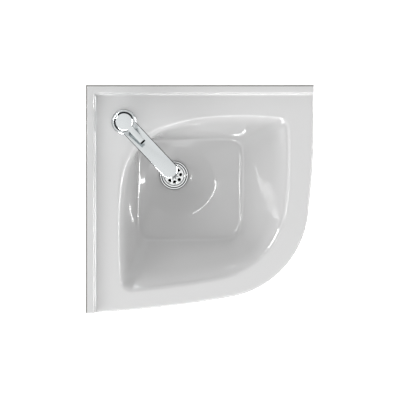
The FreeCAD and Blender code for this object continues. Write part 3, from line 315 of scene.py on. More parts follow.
# --- Meshes ---
def object_from(name, data):
    piece = bpy.data.objects.new(name, data)
    bpy.context.scene.collection.objects.link(piece)
    return piece


def mesh_from_rings(name, rings):
    """A mesh of quads between rings of equally many points. The last ring meets the first."""
    rings = np.asarray(rings, dtype=float)
    count, around = rings.shape[:2]
    index = np.arange(count * around).reshape(count, around)
    onward = np.roll(index, -1, axis=0)
    faces = np.stack([index, onward, np.roll(onward, -1, axis=1), np.roll(index, -1, axis=1)],
                     axis=-1)
    mesh = bpy.data.meshes.new(name)
    mesh.from_pydata(rings.reshape(-1, 3).tolist(), [], faces.reshape(-1, 4).tolist())
    return mesh


def smooth(mesh, sharp_angle):
    mesh.shade_smooth()
    mesh.set_sharp_from_angle(angle=sharp_angle)


def clean_outside(mesh):
    """Points that meet are merged, faces point outwards, and only sharp edges are left sharp."""
    shape = bmesh.new()
    shape.from_mesh(mesh)
    bmesh.ops.remove_doubles(shape, verts=shape.verts, dist=MERGE_CHINA)
    bmesh.ops.dissolve_degenerate(shape, edges=shape.edges, dist=MERGE_CHINA)
    bmesh.ops.recalc_face_normals(shape, faces=shape.faces)
    if shape.calc_volume(signed=True) < 0:
        bmesh.ops.reverse_faces(shape, faces=shape.faces)
    shape.to_mesh(mesh)
    shape.free()
    smooth(mesh, CHINA_SHARP)


def apply_modifiers(piece):
    """The piece's mesh with its modifiers in it, and none left on it."""
    graph = bpy.context.evaluated_depsgraph_get()
    mesh = bpy.data.meshes.new_from_object(piece.evaluated_get(graph))
    piece.modifiers.clear()
    piece.data = mesh


def bevel_edges(piece, width, segments, least_angle):
    """Rounds the edges where faces meet at more than an angle."""
    bevel = piece.modifiers.new("edge", "BEVEL")
    bevel.width = width
    bevel.segments = segments
    bevel.limit_method = "ANGLE"
    bevel.angle_limit = math.radians(least_angle)
    apply_modifiers(piece)


def drill(piece, radius, start, end):
    """A round hole through the piece, between two points outside it."""
    start, end = Vector(start), Vector(end)
    turn = (end - start).to_track_quat("Z", "Y").to_matrix().to_4x4()
    shape = bmesh.new()
    bmesh.ops.create_cone(shape, cap_ends=True, segments=DRILL_SEGMENTS, radius1=radius,
                          radius2=radius, depth=(end - start).length,
                          matrix=Matrix.Translation((start + end) / 2) @ turn)
    mesh = bpy.data.meshes.new("drill")
    shape.to_mesh(mesh)
    shape.free()
    cutter = object_from("drill", mesh)
    cut = piece.modifiers.new("cut", "BOOLEAN")
    cut.operation = "DIFFERENCE"
    cut.solver = "EXACT"
    cut.object = cutter
    bpy.context.view_layer.update()
    apply_modifiers(piece)
    bpy.data.objects.remove(cutter)


def softened_profile(corners):
    """A closed run of (radius, z, rounding) corners with each corner drawn as a short curve."""
    run = []
    for i, (radius, z, rounding) in enumerate(corners):
        here = Vector((radius, z))
        before = Vector(corners[i - 1][:2]) - here
        after = Vector(corners[(i + 1) % len(corners)][:2]) - here
        if rounding == 0:
            run.append(here)
            continue
        start = here + before.normalized() * min(rounding, before.length / 2)
        end = here + after.normalized() * min(rounding, after.length / 2)
        for k in range(ROUNDING_STEPS + 1):
            t = k / ROUNDING_STEPS
            run.append(start * (1 - t) ** 2 + here * 2 * t * (1 - t) + end * t ** 2)
    return run


def turned_mesh(name, corners, centre):
    """A closed profile turned about the upright line through centre."""
    angles = np.arange(TURNED_SEGMENTS) * 2 * math.pi / TURNED_SEGMENTS
    rings = [
        np.stack([centre.real + p.x * np.cos(angles), centre.imag + p.x * np.sin(angles),
                  np.full(TURNED_SEGMENTS, p.y)], axis=1)
        for p in softened_profile(corners)
    ]
    mesh = mesh_from_rings(name, rings)
    clean_outside(mesh)
    return mesh


def edged_copy(node, width):
    """A merged copy of a CAD node whose hard edges are slightly rounded."""
    shape = bmesh.new()
    shape.from_mesh(frame["nodes"][node].data)
    bmesh.ops.remove_doubles(shape, verts=shape.verts, dist=MERGE_CAD)
    bmesh.ops.dissolve_limit(shape, angle_limit=FLAT, verts=shape.verts, edges=shape.edges)
    mesh = bpy.data.meshes.new(node + "_polished")
    shape.to_mesh(mesh)
    shape.free()
    piece = object_from(node + "_polished", mesh)
    bevel_edges(piece, width, segments=3, least_angle=32)
    smooth(piece.data, METAL_SHARP)
    return piece


def dress(piece, node, body, material):
    """The finished piece stands for a CAD node and moves with its body."""
    piece.data.materials.clear()
    piece.data.materials.append(material)
    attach(piece, body)
    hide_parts(node)


# --- Outlines in plan ---
def bowed_side(start, end, bow):
    """Centre and radius of the arc from start to end that bows out to the right of travel."""
    chord = end - start
    radius = (abs(chord) ** 2 / 4 + bow ** 2) / (2 * bow)
    outward = -1j * chord / abs(chord)
    return (start + end) / 2 + outward * (bow - radius), radius


def rounding_centre(first, second, radius, near):
    """Centre of the rounding that touches two bowed sides from inside."""
    first_reach, second_reach = first[1] - radius, second[1] - radius
    apart = abs(second[0] - first[0])
    along = (first_reach ** 2 - second_reach ** 2 + apart ** 2) / (2 * apart)
    aside = math.sqrt(first_reach ** 2 - along ** 2)
    onward = (second[0] - first[0]) / apart
    options = [first[0] + onward * complex(along, side * aside) for side in (1, -1)]
    return min(options, key=lambda place: abs(place - near))


def touching(side, rounding):
    """Where a rounding touches the side that it lies inside."""
    centre, radius = side
    return centre + (rounding - centre) / abs(rounding - centre) * radius


def arc(centre, start, end):
    """Points from start up to, not including, end, counter-clockwise about centre."""
    low = np.angle(start - centre)
    sweep = (np.angle(end - centre) - low) % (2 * math.pi)
    turn = low + sweep * np.arange(PATH_PART) / PATH_PART
    return centre + abs(start - centre) * np.exp(1j * turn)


def line(start, end):
    return start + (end - start) * np.arange(PATH_PART) / PATH_PART


def rim_path():
    """The bowl's rim, counter-clockwise."""
    count = len(RIM_CORNERS)
    sides = [bowed_side(RIM_CORNERS[i], RIM_CORNERS[(i + 1) % count], RIM_BOWS[i])
             for i in range(count)]
    roundings = [rounding_centre(sides[i - 1], sides[i], RIM_RADII[i], RIM_CORNERS[i])
                 for i in range(count)]
    parts = []
    for i in range(count):
        out = touching(sides[i], roundings[i])
        parts.append(arc(roundings[i], touching(sides[i - 1], roundings[i]), out))
        parts.append(arc(sides[i][0], out, touching(sides[i], roundings[(i + 1) % count])))
    return np.concatenate(parts)


def deck_path(inset):
    """The deck's outline inset by the same amount all round, from the room's corner."""
    at_wall = inset + HIDDEN
    lower, lower_radius = bowed_side(-1j * (WALL_REACH - UPSTAND_PAST_SIDE), FRONT_CORNER,
                                     FRONT_SIDE_BOWS[0])
    right, right_radius = bowed_side(FRONT_CORNER, WALL_REACH - UPSTAND_PAST_BACK,
                                     FRONT_SIDE_BOWS[1])
    rounding = rounding_centre((lower, lower_radius), (right, right_radius), FRONT_CORNER_RADIUS,
                               FRONT_CORNER)
    lower_reach, right_reach = lower_radius - inset, right_radius - inset
    corner = complex(at_wall, -at_wall)
    low_end = complex(at_wall,
                      lower.imag - math.sqrt(lower_reach ** 2 - (at_wall - lower.real) ** 2))
    back_end = complex(right.real + math.sqrt(right_reach ** 2 - (at_wall + right.imag) ** 2),
                       -at_wall)
    first = touching((lower, lower_reach), rounding)
    second = touching((right, right_reach), rounding)
    return np.concatenate([
        line(corner, low_end), arc(lower, low_end, first), arc(rounding, first, second),
        arc(right, second, back_end), line(back_end, corner),
    ])


def about_waste(path):
    return np.angle(path - WASTE)


def ray_angles(rim, corners):
    """Angles round the waste, evenly spaced along the rim, with one ray through each corner."""
    steps = np.abs(np.roll(rim, -1) - rim)
    along = np.concatenate([[0.0], np.cumsum(steps)])
    angles = np.unwrap(about_waste(np.append(rim, rim[0])))
    rays = np.interp(np.arange(RAYS) / RAYS * along[-1], along, angles)
    for corner in corners:
        offset = (np.angle(corner - WASTE) - rays + math.pi) % (2 * math.pi) - math.pi
        nearest = np.argmin(np.abs(offset))
        rays[nearest] += offset[nearest]
    return rays


def reach_of(path, rays):
    """Distance from the waste to a path along each ray."""
    return np.interp(rays, about_waste(path), np.abs(path - WASTE), period=2 * math.pi)


def places_on(path, positions):
    """Points of a closed path at fractional positions along its list."""
    closed = np.append(path, path[0])
    index = np.arange(len(closed))
    return np.interp(positions, index, closed.real) + 1j * np.interp(positions, index, closed.imag)


def positions_of(path, rays):
    """Fractional positions along a path's list where it crosses each ray."""
    angles = np.unwrap(about_waste(np.append(path, path[0])))
    wanted = angles[0] + (rays - angles[0]) % (2 * math.pi)
    return np.interp(wanted, angles, np.arange(len(angles)))


# --- China: bowl, deck and apron ---
def spline_weights(poles, shares):
    """Weights of a clamped cubic curve's poles, one column for each share of the way along."""
    spans = poles - 3
    knots = np.concatenate([[0.0] * 3, np.arange(spans + 1.0), [float(spans)] * 3])
    places = np.clip(np.asarray(shares) * spans, 0, spans - JUST_INSIDE)
    weights = ((knots[:-1, None] <= places) & (places < knots[1:, None])).astype(float)
    for degree in (1, 2, 3):
        count = len(knots) - degree - 1
        low, high = knots[:count, None], knots[degree:degree + count, None]
        next_low, next_high = knots[1:count + 1, None], knots[degree + 1:degree + 1 + count, None]
        rising = np.divide(places - low, high - low, where=high > low,
                           out=np.zeros((count, len(places))))
        falling = np.divide(next_high - places, next_high - next_low, where=next_high > next_low,
                            out=np.zeros((count, len(places))))
        weights = rising * weights[:count] + falling * weights[1:count + 1]
    return weights


def beside_tap(rays, spread):
    """1 towards the tap, falling to 0 at the spread to either side."""
    away = np.abs((rays - np.angle(TAP - WASTE) + math.pi) % (2 * math.pi) - math.pi)
    return 0.5 + 0.5 * np.cos(math.pi * np.minimum(1.0, away / spread))


def lip_width(rays, settings):
    """Half width of the rounded lip: wide beside the tap and narrow elsewhere."""
    extra = settings.lip_wide - settings.lip_narrow
    return settings.lip_narrow + extra * beside_tap(rays, LIP_SPREAD)


def crease_share(rays, settings):
    """Share of the wall and of the pan in their bend: large beside the tap and small elsewhere."""
    extra = settings.soft_crease - settings.crease
    return settings.crease + extra * np.sqrt(beside_tap(rays, CREASE_SPREAD))


def dish_reach(rays, settings):
    """Distance from the waste to the edge of the dish, a circle shifted to the front corner."""
    from_front = rays + math.pi / 4
    aside = settings.dish_shift * np.sin(from_front)
    beyond = np.sqrt(settings.dish_radius ** 2 - aside ** 2)
    return settings.dish_shift * np.cos(from_front) + beyond


def pan_reach(rays, settings):
    """Distance from the waste to the pan's edge: a rounded rectangle about the waste."""
    across = np.where(np.cos(rays) < 0, settings.pan_left, settings.pan_right)
    along = np.where(np.sin(rays) > 0, settings.pan_left, settings.pan_front)
    power = settings.pan_power - settings.pan_soften * beside_tap(rays, CREASE_SPREAD)
    return ((np.abs(np.cos(rays)) / across) ** power
            + (np.abs(np.sin(rays)) / along) ** power) ** (-1 / power)


def between(start, end, share):
    return tuple(a + (b - a) * share for a, b in zip(start, end))


def inside_poles(rays, reach, settings):
    """Poles from the deck over the lip, down the wall and over the pan to the waste's seat."""
    lip = lip_width(rays, settings)
    under_lip = (reach - lip, -LIP_FALL * lip)
    pan = (pan_reach(rays, settings), -settings.pan_depth)
    dish = (dish_reach(rays, settings), settings.floor_fall - settings.bowl_depth)
    crease = crease_share(rays, settings)
    return [
        (reach + lip, 0.0), (reach, 0.0), under_lip, between(under_lip, pan, 1 / 3),
        between(under_lip, pan, 2 / 3), between(under_lip, pan, 1 - crease / 2), pan,
        between(pan, dish, crease), between(pan, dish, 1 - settings.dish_crease), dish,
        between(dish, (WASTE_SEAT_RADIUS, -settings.bowl_depth), 2 * settings.dish_crease),
        (WASTE_SEAT_RADIUS, -settings.bowl_depth),
    ]


def outside_poles(rays, reach, settings):
    """Poles up the underside of the bowl, from the boss to the deck's underside."""
    under_lip, pan = reach - lip_width(rays, settings), pan_reach(rays, settings)
    slope = (under_lip - pan) / settings.pan_depth
    out = CHINA_WALL * np.hypot(slope, 1)
    top = (under_lip + out - slope * DECK_THICKNESS, -DECK_THICKNESS)
    low = (pan + out - slope * CHINA_WALL, -settings.pan_depth - CHINA_WALL)
    return [(BOSS_RADIUS, -settings.bowl_depth - CHINA_WALL),
            (dish_reach(rays, settings), settings.floor_fall - settings.bowl_depth - CHINA_WALL),
            low, between(low, top, 1 / 3), between(low, top, 2 / 3), top]


def spline_rings(poles, rays, shares):
    """Rings of points about the waste. A pole's distance and height may differ from ray to ray."""
    weights = spline_weights(len(poles), shares)
    distances = np.stack([np.broadcast_to(d, rays.shape) for d, z in poles])
    heights = np.stack([np.broadcast_to(z, rays.shape) for d, z in poles])
    reach, z = weights.T @ distances, weights.T @ heights
    plan = WASTE + reach * np.exp(1j * rays)
    return [ring(p, h) for p, h in zip(plan, z)]


def ring(plan, z):
    return np.stack([plan.real, plan.imag, np.broadcast_to(z, plan.shape)], axis=1)


def round_ring(radius, z, rays):
    return ring(WASTE + radius * np.exp(1j * rays), z)


def quarter(steps=QUARTER_STEPS):
    """(sine, cosine) from 0 to 90 degrees."""
    return [(math.sin(math.pi / 2 * i / steps), math.cos(math.pi / 2 * i / steps))
            for i in range(steps + 1)]


def bowl_and_deck(settings):
    """One closed skin: bowl, deck, front edge, apron, underside and the hole for the waste."""
    rim, outline = rim_path(), deck_path(0.0)
    # One ray passes through each corner of the deck: the room's, and the end at either wall.
    rays = ray_angles(rim, [outline[0], outline[PATH_PART], outline[4 * PATH_PART]])
    positions = positions_of(outline, rays)
    reach = reach_of(rim, rays)

    def outline_ring(inset, z):
        return ring(places_on(deck_path(inset), positions), z)

    floor, boss_bottom = -settings.bowl_depth, -settings.bowl_depth - BOSS_LENGTH
    edge, foot, inner = settings.edge_radius, APRON_FOOT_RADIUS, CHINA_WALL - 2 * HIDDEN
    rings = [
        round_ring(WASTE_HOLE_RADIUS, boss_bottom, rays),
        round_ring(WASTE_HOLE_RADIUS, floor - WASTE_RECESS, rays),
        round_ring(WASTE_RECESS_RADIUS, floor - WASTE_RECESS, rays),
        round_ring(WASTE_RECESS_RADIUS, floor, rays),
    ]
    rings += spline_rings(inside_poles(rays, reach, settings), rays,
                          1 - np.linspace(0, 1, INSIDE_RINGS))
    lip_end, deck_end = rings[-1], outline_ring(edge, 0.0)
    rings += [lip_end + (deck_end - lip_end) * share for share in DECK_SHARES]
    rings += [outline_ring(edge * (1 - s), edge * (c - 1)) for s, c in quarter()]
    rings += [outline_ring(foot * (1 - c), -APRON_DEPTH + foot * (1 - s)) for s, c in quarter()]
    rings += [outline_ring(inner - foot / 2, -APRON_DEPTH),
              outline_ring(inner, -APRON_DEPTH + foot / 2), outline_ring(inner, -DECK_THICKNESS)]
    rings += spline_rings(outside_poles(rays, reach, settings), rays,
                          1 - np.linspace(0, 1, OUTSIDE_RINGS))
    rings += [round_ring(BOSS_RADIUS, boss_bottom, rays)]
    mesh = mesh_from_rings("bowl_and_deck", rings)
    clean_outside(mesh)
    return mesh


# --- China: the plates and raised edges against the walls ---
def skirt_depth(along):
    """Depth of the wall plate's lower edge at a distance from the room's corner."""
    rise, run = SKIRT_DEPTH - APRON_DEPTH, SKIRT_END - SKIRT_STRAIGHT
    radius = (run ** 2 + rise ** 2) / (2 * rise)
    past = min(max(along - SKIRT_STRAIGHT, 0.0), run)
    return SKIRT_DEPTH - (radius - math.sqrt(radius ** 2 - past ** 2))


def wall_section(depth, settings, overhang=False):
    """(inset, z) points round the section of the raised edge and the plate under it."""
    top, thick = settings.upstand_height, settings.upstand_thickness
    back, front, cove = UPSTAND_BACK_RADIUS, settings.upstand_radius, settings.cove_radius
    foot = OVERHANG_FOOT_RADIUS if overhang else SKIRT_FOOT_RADIUS
    points = [(foot * (1 - s), -depth + foot * (1 - c)) for s, c in quarter(FOOT_STEPS)]
    points += [(back * (1 - c), top - back * (1 - s)) for s, c in quarter()]
    points += [(thick - front * (1 - s), top - front * (1 - c)) for s, c in quarter()]
    if overhang:
        points += [(thick, cove * (1 - s) - SUNK - OVERHANG_DROP * s) for s, c in quarter()]
        points += [(thick, -depth), (CHINA_WALL, -depth)]
    else:
        root = -PLATE_ROOT * DECK_THICKNESS
        points += [(thick + cove * (1 - c), cove * (1 - s) - SUNK) for s, c in quarter()]
        points += [(thick + cove, root), (CHINA_WALL, root)]
    points += [(CHINA_WALL - foot * (1 - c), -depth + foot * (1 - s))
               for s, c in quarter(FOOT_STEPS)]
    return points


def wall_plates(settings):
    """The raised edge and plate of both walls as one bent run with closed ends."""
    clear = settings.upstand_thickness + settings.cove_radius + COVE_CLEAR
    straight = list(np.linspace(clear, SKIRT_STRAIGHT, STRAIGHT_STATIONS))
    curved = list(np.linspace(SKIRT_STRAIGHT, SKIRT_END, CURVED_STATIONS))[1:]
    stations = []
    for past, side in ((UPSTAND_PAST_SIDE, -1), (UPSTAND_PAST_BACK, 1)):
        deck_end = WALL_REACH - past
        run = [(s, wall_section(skirt_depth(s), settings)) for s in straight + curved]
        run.append((deck_end, wall_section(APRON_DEPTH, settings)))
        run += [(s, wall_section(DECK_THICKNESS, settings, overhang=True))
                for s in (deck_end, WALL_REACH)]
        stations.append([(side * s, section) for s, section in run])
    corner = [(0.0, wall_section(SKIRT_DEPTH, settings))]
    vertices, sections = [], stations[0][::-1] + corner + stations[1]
    for along, section in sections:
        for inset, z in section:
            x = inset if along <= 0 else along
            y = -inset if along >= 0 else along
            vertices.append((x, y, z))
    around = len(corner[0][1])
    faces = []
    last = (len(sections) - 1) * around
    for here in range(0, last, around):
        there = here + around
        for j in range(around):
            k = (j + 1) % around
            faces.append((here + j, here + k, there + k, there + j))
    faces += [tuple(range(around))[::-1], tuple(range(last, last + around))]
    mesh = bpy.data.meshes.new("wall_plates")
    mesh.from_pydata(vertices, [], faces)
    clean_outside(mesh)
    return mesh


BARE_SLOT, SHADE_EDGE_SLOT = 1, 2  # materials after the glaze


def mark_faces(mesh):
    """Bare on the walls and under the boss, and painted shade, a dark grey, along the raised edges'
    wall sides.
    """
    for face in mesh.polygons:
        (x, y, z), out = face.center, face.normal
        if z > SHADE_EDGE_ABOVE and (x < SHADE_EDGE_WIDTH or y > -SHADE_EDGE_WIDTH):
            face.material_index = SHADE_EDGE_SLOT
        if ((x < HIDDEN and out.x < -FACING) or (y > -HIDDEN and out.y > FACING)
                or (out.z < -FACING and z < -SKIRT_DEPTH + HIDDEN)):
            face.material_index = BARE_SLOT


class BASIN_OT_china(bpy.types.Operator):
    """Bowl, deck, apron, raised edges and wall plates, fired as one piece"""
    bl_idname = "basin.china"
    bl_label = "China"

    def execute(self, context):
        settings = context.scene.basin_china
        before, behind = DRILL_SPAN
        body = object_from("basin_china", bowl_and_deck(settings))
        drill(body, TAP_HOLE_RADIUS, (TAP.real, TAP.imag, behind), (TAP.real, TAP.imag, before))
        plates = object_from("plates", wall_plates(settings))
        bevel_edges(plates, PLATE_END_RADIUS, segments=3, least_angle=60)
        for start, end in (((FIXING_REACH, before), (FIXING_REACH, behind)),
                           ((-before, -FIXING_REACH), (-behind, -FIXING_REACH))):
            drill(plates, FIXING_HOLE_RADIUS, (*start, -FIXING_DROP), (*end, -FIXING_DROP))
        joined = bmesh.new()
        joined.from_mesh(body.data)
        joined.from_mesh(plates.data)
        joined.to_mesh(body.data)
        joined.free()
        bpy.data.objects.remove(plates)
        smooth(body.data, CHINA_SHARP)
        dress(body, "basin_body", "basin",
              glazed_china(settings.glaze, settings.glaze_painted_shade))
        body.data.materials.append(unglazed_china(settings.bisque))
        # Painted shade: dark grey along the raised edges' back edges.
        body.data.materials.append(moulded("ground_edge", settings.ground_edge, (0.5, 0.7)))
        mark_faces(body.data)
        return {"FINISHED"}


# --- Waste ---
FLANGE_DEPTH = 0.0045  # the bead's top to the flange's underside
SPIGOT_RADII = (0.0197, 0.0215)
SCREW_RADII = (0.0034, 0.0056)  # the screw's hole, at the bottom and at the top of its sink
SCREW_SINK = 0.002
GRID_THICKNESS = 0.0022
GRID_SLOPE = ((0.001, 0.0, 0.0004), (0.0004, 0.0006, 0.0003))  # (in from its edge, fall, rounding)
GROOVE_DEPTH = 0.001
GROOVE_SLOPE = 0.0002
GROOVE_SHADE = (0.0, 0.0004)  # painted shade, a near-black plate, runs past the groove's inner and outer edge,
STEP_SHADE = (0.0012, 0.0001)  # past both sides of the step at the grid's edge,
FLANGE_SHADE = (0.0009, 0.001)  # past both sides of the flange's edge,
BORE_SHADE = 0.0004  # and inside the holes from this far under the grid's top
DRILL_DEPTH = 0.02
DRILL_SIDES = 32
GRID_EDGE = 0.0003
TAIL_EDGE = 0.0005
PAINTED_SHADE_SLOT = 1  # painted shade's material, after the chrome


def perforation_tree():
    """Node group that drills a ring of round holes through the piece that it is given."""
    tree = bpy.data.node_groups.new("ring_of_holes", "GeometryNodeTree")
    sockets = (("Geometry", "Geometry"), ("Holes", "Int"), ("Hole Radius", "Float"),
               ("Circle Radius", "Float"), ("Turn", "Float"), ("Centre", "Vector"),
               ("Depth", "Float"), ("Material", "Material"))
    for name, kind in sockets:
        tree.interface.new_socket(name, in_out="INPUT", socket_type="NodeSocket" + kind)
    tree.interface.new_socket("Geometry", in_out="OUTPUT", socket_type="NodeSocketGeometry")
    given = add_node(tree, "NodeGroupInput").outputs
    circle = add_node(tree, "GeometryNodeMeshCircle", {
        "Vertices": given["Holes"], "Radius": given["Circle Radius"]})
    bit = add_node(tree, "GeometryNodeMeshCylinder", {
        "Vertices": DRILL_SIDES, "Radius": given["Hole Radius"], "Depth": given["Depth"]})
    bits = add_node(tree, "GeometryNodeInstanceOnPoints", {
        "Points": circle.outputs["Mesh"], "Instance": bit.outputs["Mesh"]})
    turn = add_node(tree, "ShaderNodeCombineXYZ", {"Z": given["Turn"]})
    placed = add_node(tree, "GeometryNodeTransform", {
        "Geometry": bits.outputs["Instances"], "Rotation": turn.outputs["Vector"],
        "Translation": given["Centre"]})
    solid = add_node(tree, "GeometryNodeRealizeInstances", {"Geometry": placed.outputs["Geometry"]})
    drilled = add_node(tree, "GeometryNodeMeshBoolean", {
        "Mesh 1": given["Geometry"], "Mesh 2": solid.outputs["Geometry"]},
        operation="DIFFERENCE", solver="EXACT")
    real = add_node(tree, "GeometryNodeRealizeInstances", {"Geometry": drilled.outputs["Mesh"]})
    coated = add_node(tree, "GeometryNodeSetMaterial", {
        "Geometry": real.outputs["Geometry"], "Material": given["Material"]})
    add_node(tree, "NodeGroupOutput", {"Geometry": coated.outputs["Geometry"]})
    return tree


def drill_ring(piece, tree, **values):
    """One ring of holes through the piece, drilled by the node group."""
    drilling = piece.modifiers.new("holes", "NODES")
    drilling.node_group = tree
    for item in tree.interface.items_tree:
        key = item.name.lower().replace(" ", "_")
        if item.in_out == "INPUT" and key in values:
            drilling[item.identifier] = values[key]
    apply_modifiers(piece)


class BASIN_OT_waste(bpy.types.Operator):
    """Flange with its raised ring, groove and drilled grid, and the tail under it"""
    bl_idname = "basin.waste"
    bl_label = "Waste"

    def execute(self, context):
        sizes, tap = context.scene.basin_waste, context.scene.basin_tap
        low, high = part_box("waste_grid")
        flange, bead_top = (high.x - low.x) / 2, high.z
        step_top = bead_top - sizes.step_fall
        grid_top = step_top - sizes.step_fall
        under = bead_top - FLANGE_DEPTH
        bead_inner = flange - sizes.bead_width
        step_outer = bead_inner - sizes.groove_width
        grid_outer = step_outer - sizes.step_width
        groove, grid_under = step_top - GROOVE_DEPTH, grid_top - GRID_THICKNESS
        # The waste's lighter chrome is painted light.
        chrome = polished_chrome("chromed_waste", tap.waste_chrome)
        # (radius, height, rounding) of each corner, from the screw's sink outwards and back below
        mesh = turned_mesh("waste_grid_turned", [
            (SCREW_RADII[1], grid_top, 0.0004),
            *((grid_outer - inwards, grid_top - fall, soft) for inwards, fall, soft in GRID_SLOPE),
            (grid_outer, step_top, 0.0008), (step_outer, step_top, 0.0006),
            (step_outer + GROOVE_SLOPE, groove, 0.0003), (bead_inner, groove, 0.0003),
            (bead_inner, bead_top, 0.0008), (flange, bead_top, 0.0011), (flange, under, 0.0004),
            (SPIGOT_RADII[1], under, 0.0004), (SPIGOT_RADII[1], low.z, 0.0003),
            (SPIGOT_RADII[0], low.z, 0.0003), (SPIGOT_RADII[0], grid_under, 0.0006),
            (SCREW_RADII[0], grid_under, 0.0003), (SCREW_RADII[0], grid_top - SCREW_SINK, 0.0),
        ], WASTE)
        grid = object_from("waste_grid_polished", mesh)
        drill_ring(grid, perforation_tree(), holes=sizes.holes, hole_radius=sizes.hole_radius,
                   circle_radius=sizes.hole_circle, turn=sizes.hole_turn, depth=DRILL_DEPTH,
                   centre=(WASTE.real, WASTE.imag, grid_top), material=chrome)
        bevel_edges(grid, GRID_EDGE, segments=2, least_angle=50)
        smooth(grid.data, METAL_SHARP)
        dress(grid, "waste_grid", "basin", chrome)
        # Painted shade: near-black plate in the groove, the holes, at the step and round the
        # flange's edge.
        grid.data.materials.append(moulded("dulled_chrome", tap.dull, (0.35, 0.6)))
        shaded = ((step_outer - GROOVE_SHADE[0], bead_inner + GROOVE_SHADE[1]),
                  (grid_outer - STEP_SHADE[0], grid_outer + STEP_SHADE[1]),
                  (flange - FLANGE_SHADE[0], flange + FLANGE_SHADE[1]))
        for face in grid.data.polygons:
            away = abs(complex(face.center.x, face.center.y) - WASTE)
            in_bore = away < grid_outer and face.center.z < grid_top - BORE_SHADE
            if in_bore or any(inner < away < outer for inner, outer in shaded):
                face.material_index = PAINTED_SHADE_SLOT
        dress(edged_copy("waste_tail", TAIL_EDGE), "waste_tail", "basin", chrome)
        return {"FINISHED"}


# --- Tap ---
class BASIN_OT_tap(bpy.types.Operator):
    """Tap body, flat spout with the ring in its underside, dome and lever"""
    bl_idname = "basin.tap"
    bl_label = "Tap"

    def execute(self, context):
        tap = context.scene.basin_tap
        chrome = polished_chrome("chromed_tap", tap.chrome)
        # The lever's lighter chrome is painted light.
        lever_chrome = polished_chrome("chromed_lever", tap.lever_chrome)
        for node, body, slot_name in (("tap_body", "basin", "chromed_brass"),
                                      ("tap_spout", "basin", "chromed_brass"),
                                      ("dome_cover", "basin", "chromed_brass"),
                                      ("lever_handle", "lever", "chromed_zinc"),
                                      ("aerator_ring", "basin", "chromed_brass")):
            edge, finish = (tap.lever_edge, lever_chrome) if body == "lever" else (tap.edge, chrome)
            dress(edged_copy(node, edge), node, body, finish)
        return {"FINISHED"}


class BASIN_OT_inner_pieces(bpy.types.Operator):
    """Finishes for the seals, the cartridge, the fixing and the other pieces out of sight"""
    bl_idname = "basin.inner_pieces"
    bl_label = "Inner pieces"

    def execute(self, context):
        tap = context.scene.basin_tap
        finishes = {
            "black_rubber": moulded("black_rubber", tap.rubber, (0.6, 0.8)),
            "white_acetal": moulded("white_acetal", tap.white_plastic, (0.35, 0.5)),
            "grey_acetal": moulded("grey_acetal", tap.grey_plastic, (0.35, 0.5)),
            "chromed_plastic": moulded("satin_plug", tap.grey_plastic, (0.2, 0.35)),
            "alumina_disc": moulded("lapped_alumina", tap.white_plastic, (0.15, 0.25), grain=1500),
            "bare_brass": turned_metal("bare_brass", tap.brass, (0.25, 0.4)),
            "stainless_steel": turned_metal("stainless_steel", tap.steel, (0.18, 0.3)),
            "zinc_plated_steel": turned_metal("zinc_plated_steel", tap.steel, (0.35, 0.5)),
        }
        for part in frame["record"]["subparts"]:
            if part["material_slot"] in finishes:
                node = frame["nodes"][part["node"]]
                node.data.materials.clear()
                node.data.materials.append(finishes[part["material_slot"]])
        return {"FINISHED"}


# --- Stage ---
IMAGE_WIDTH = 0.8772  # metres across the picture
IMAGE_CENTRE = 0.2504 - 0.2521j
CAMERA_HEIGHT = 2.0
FLOOR_Z = -0.85  # a basin's usual height above the floor
FLOOR_REACH = 6.0
FLOOR_LIT = "B0B0B0"  # the floor as it lights the basin from below,
FLOOR_MIRRORED = "3C3E40"  # as the glaze and the chrome mirror it,
FLOOR_GLOW = 0.55  # and what makes it up to white for the camera, shadow kept
SHADE_DISC_RADIUS = 0.020  # painted shade: black disc on the floor under the waste, seen through the grid's holes
SKY = ((0.0, 0.0), (0.16, 0.02), (0.32, 1.0), (0.50, 1.0), (0.62, 0.48), (0.82, 0.26),
       (0.90, 0.20), (0.96, 0.54), (1.0, 0.58))  # (sine of elevation, share of the strength)
SKY_STRENGTH = 1.68
SKY_BIAS = (-0.24, -0.24, 0.0)  # the sky is brighter towards the front left
LIGHT_DISTANCE = 2.5
# (name, azimuth and elevation in degrees, width, height, watts). Azimuth turns from +X to +Y.
SOFT_BOXES = (
    ("key_front", -45, 9, 2.07, 0.8, 22),
    ("fill_left", -135, 27, 1.8, 0.8, 10),
)
# Glints show only in the glaze and the chrome.
GLINTS = (
    ("strip_front", -105, 9, 3.4, 0.3, 42),
    ("strip_right", 0, 9, 2.4, 0.3, 30),
    ("strip_back", 147, 9, 0.9, 0.5, 30),
    ("window_right", 0, 24, 0.5, 0.22, 9),
    ("window_front", -108, 22, 0.5, 0.22, 9),
    ("window_high", 172, 57, 0.25, 0.12, 2.4),
    ("slit_high", 146, 70, 1.15, 0.05, 2.4),
)


def seen_by_camera(tree, lit, seen):
    """One shader for light and reflections, and another that only the camera sees."""
    camera_ray = add_node(tree, "ShaderNodeLightPath").outputs["Is Camera Ray"]
    return add_node(tree, "ShaderNodeMixShader", {0: camera_ray, 1: lit, 2: seen}).outputs[0]


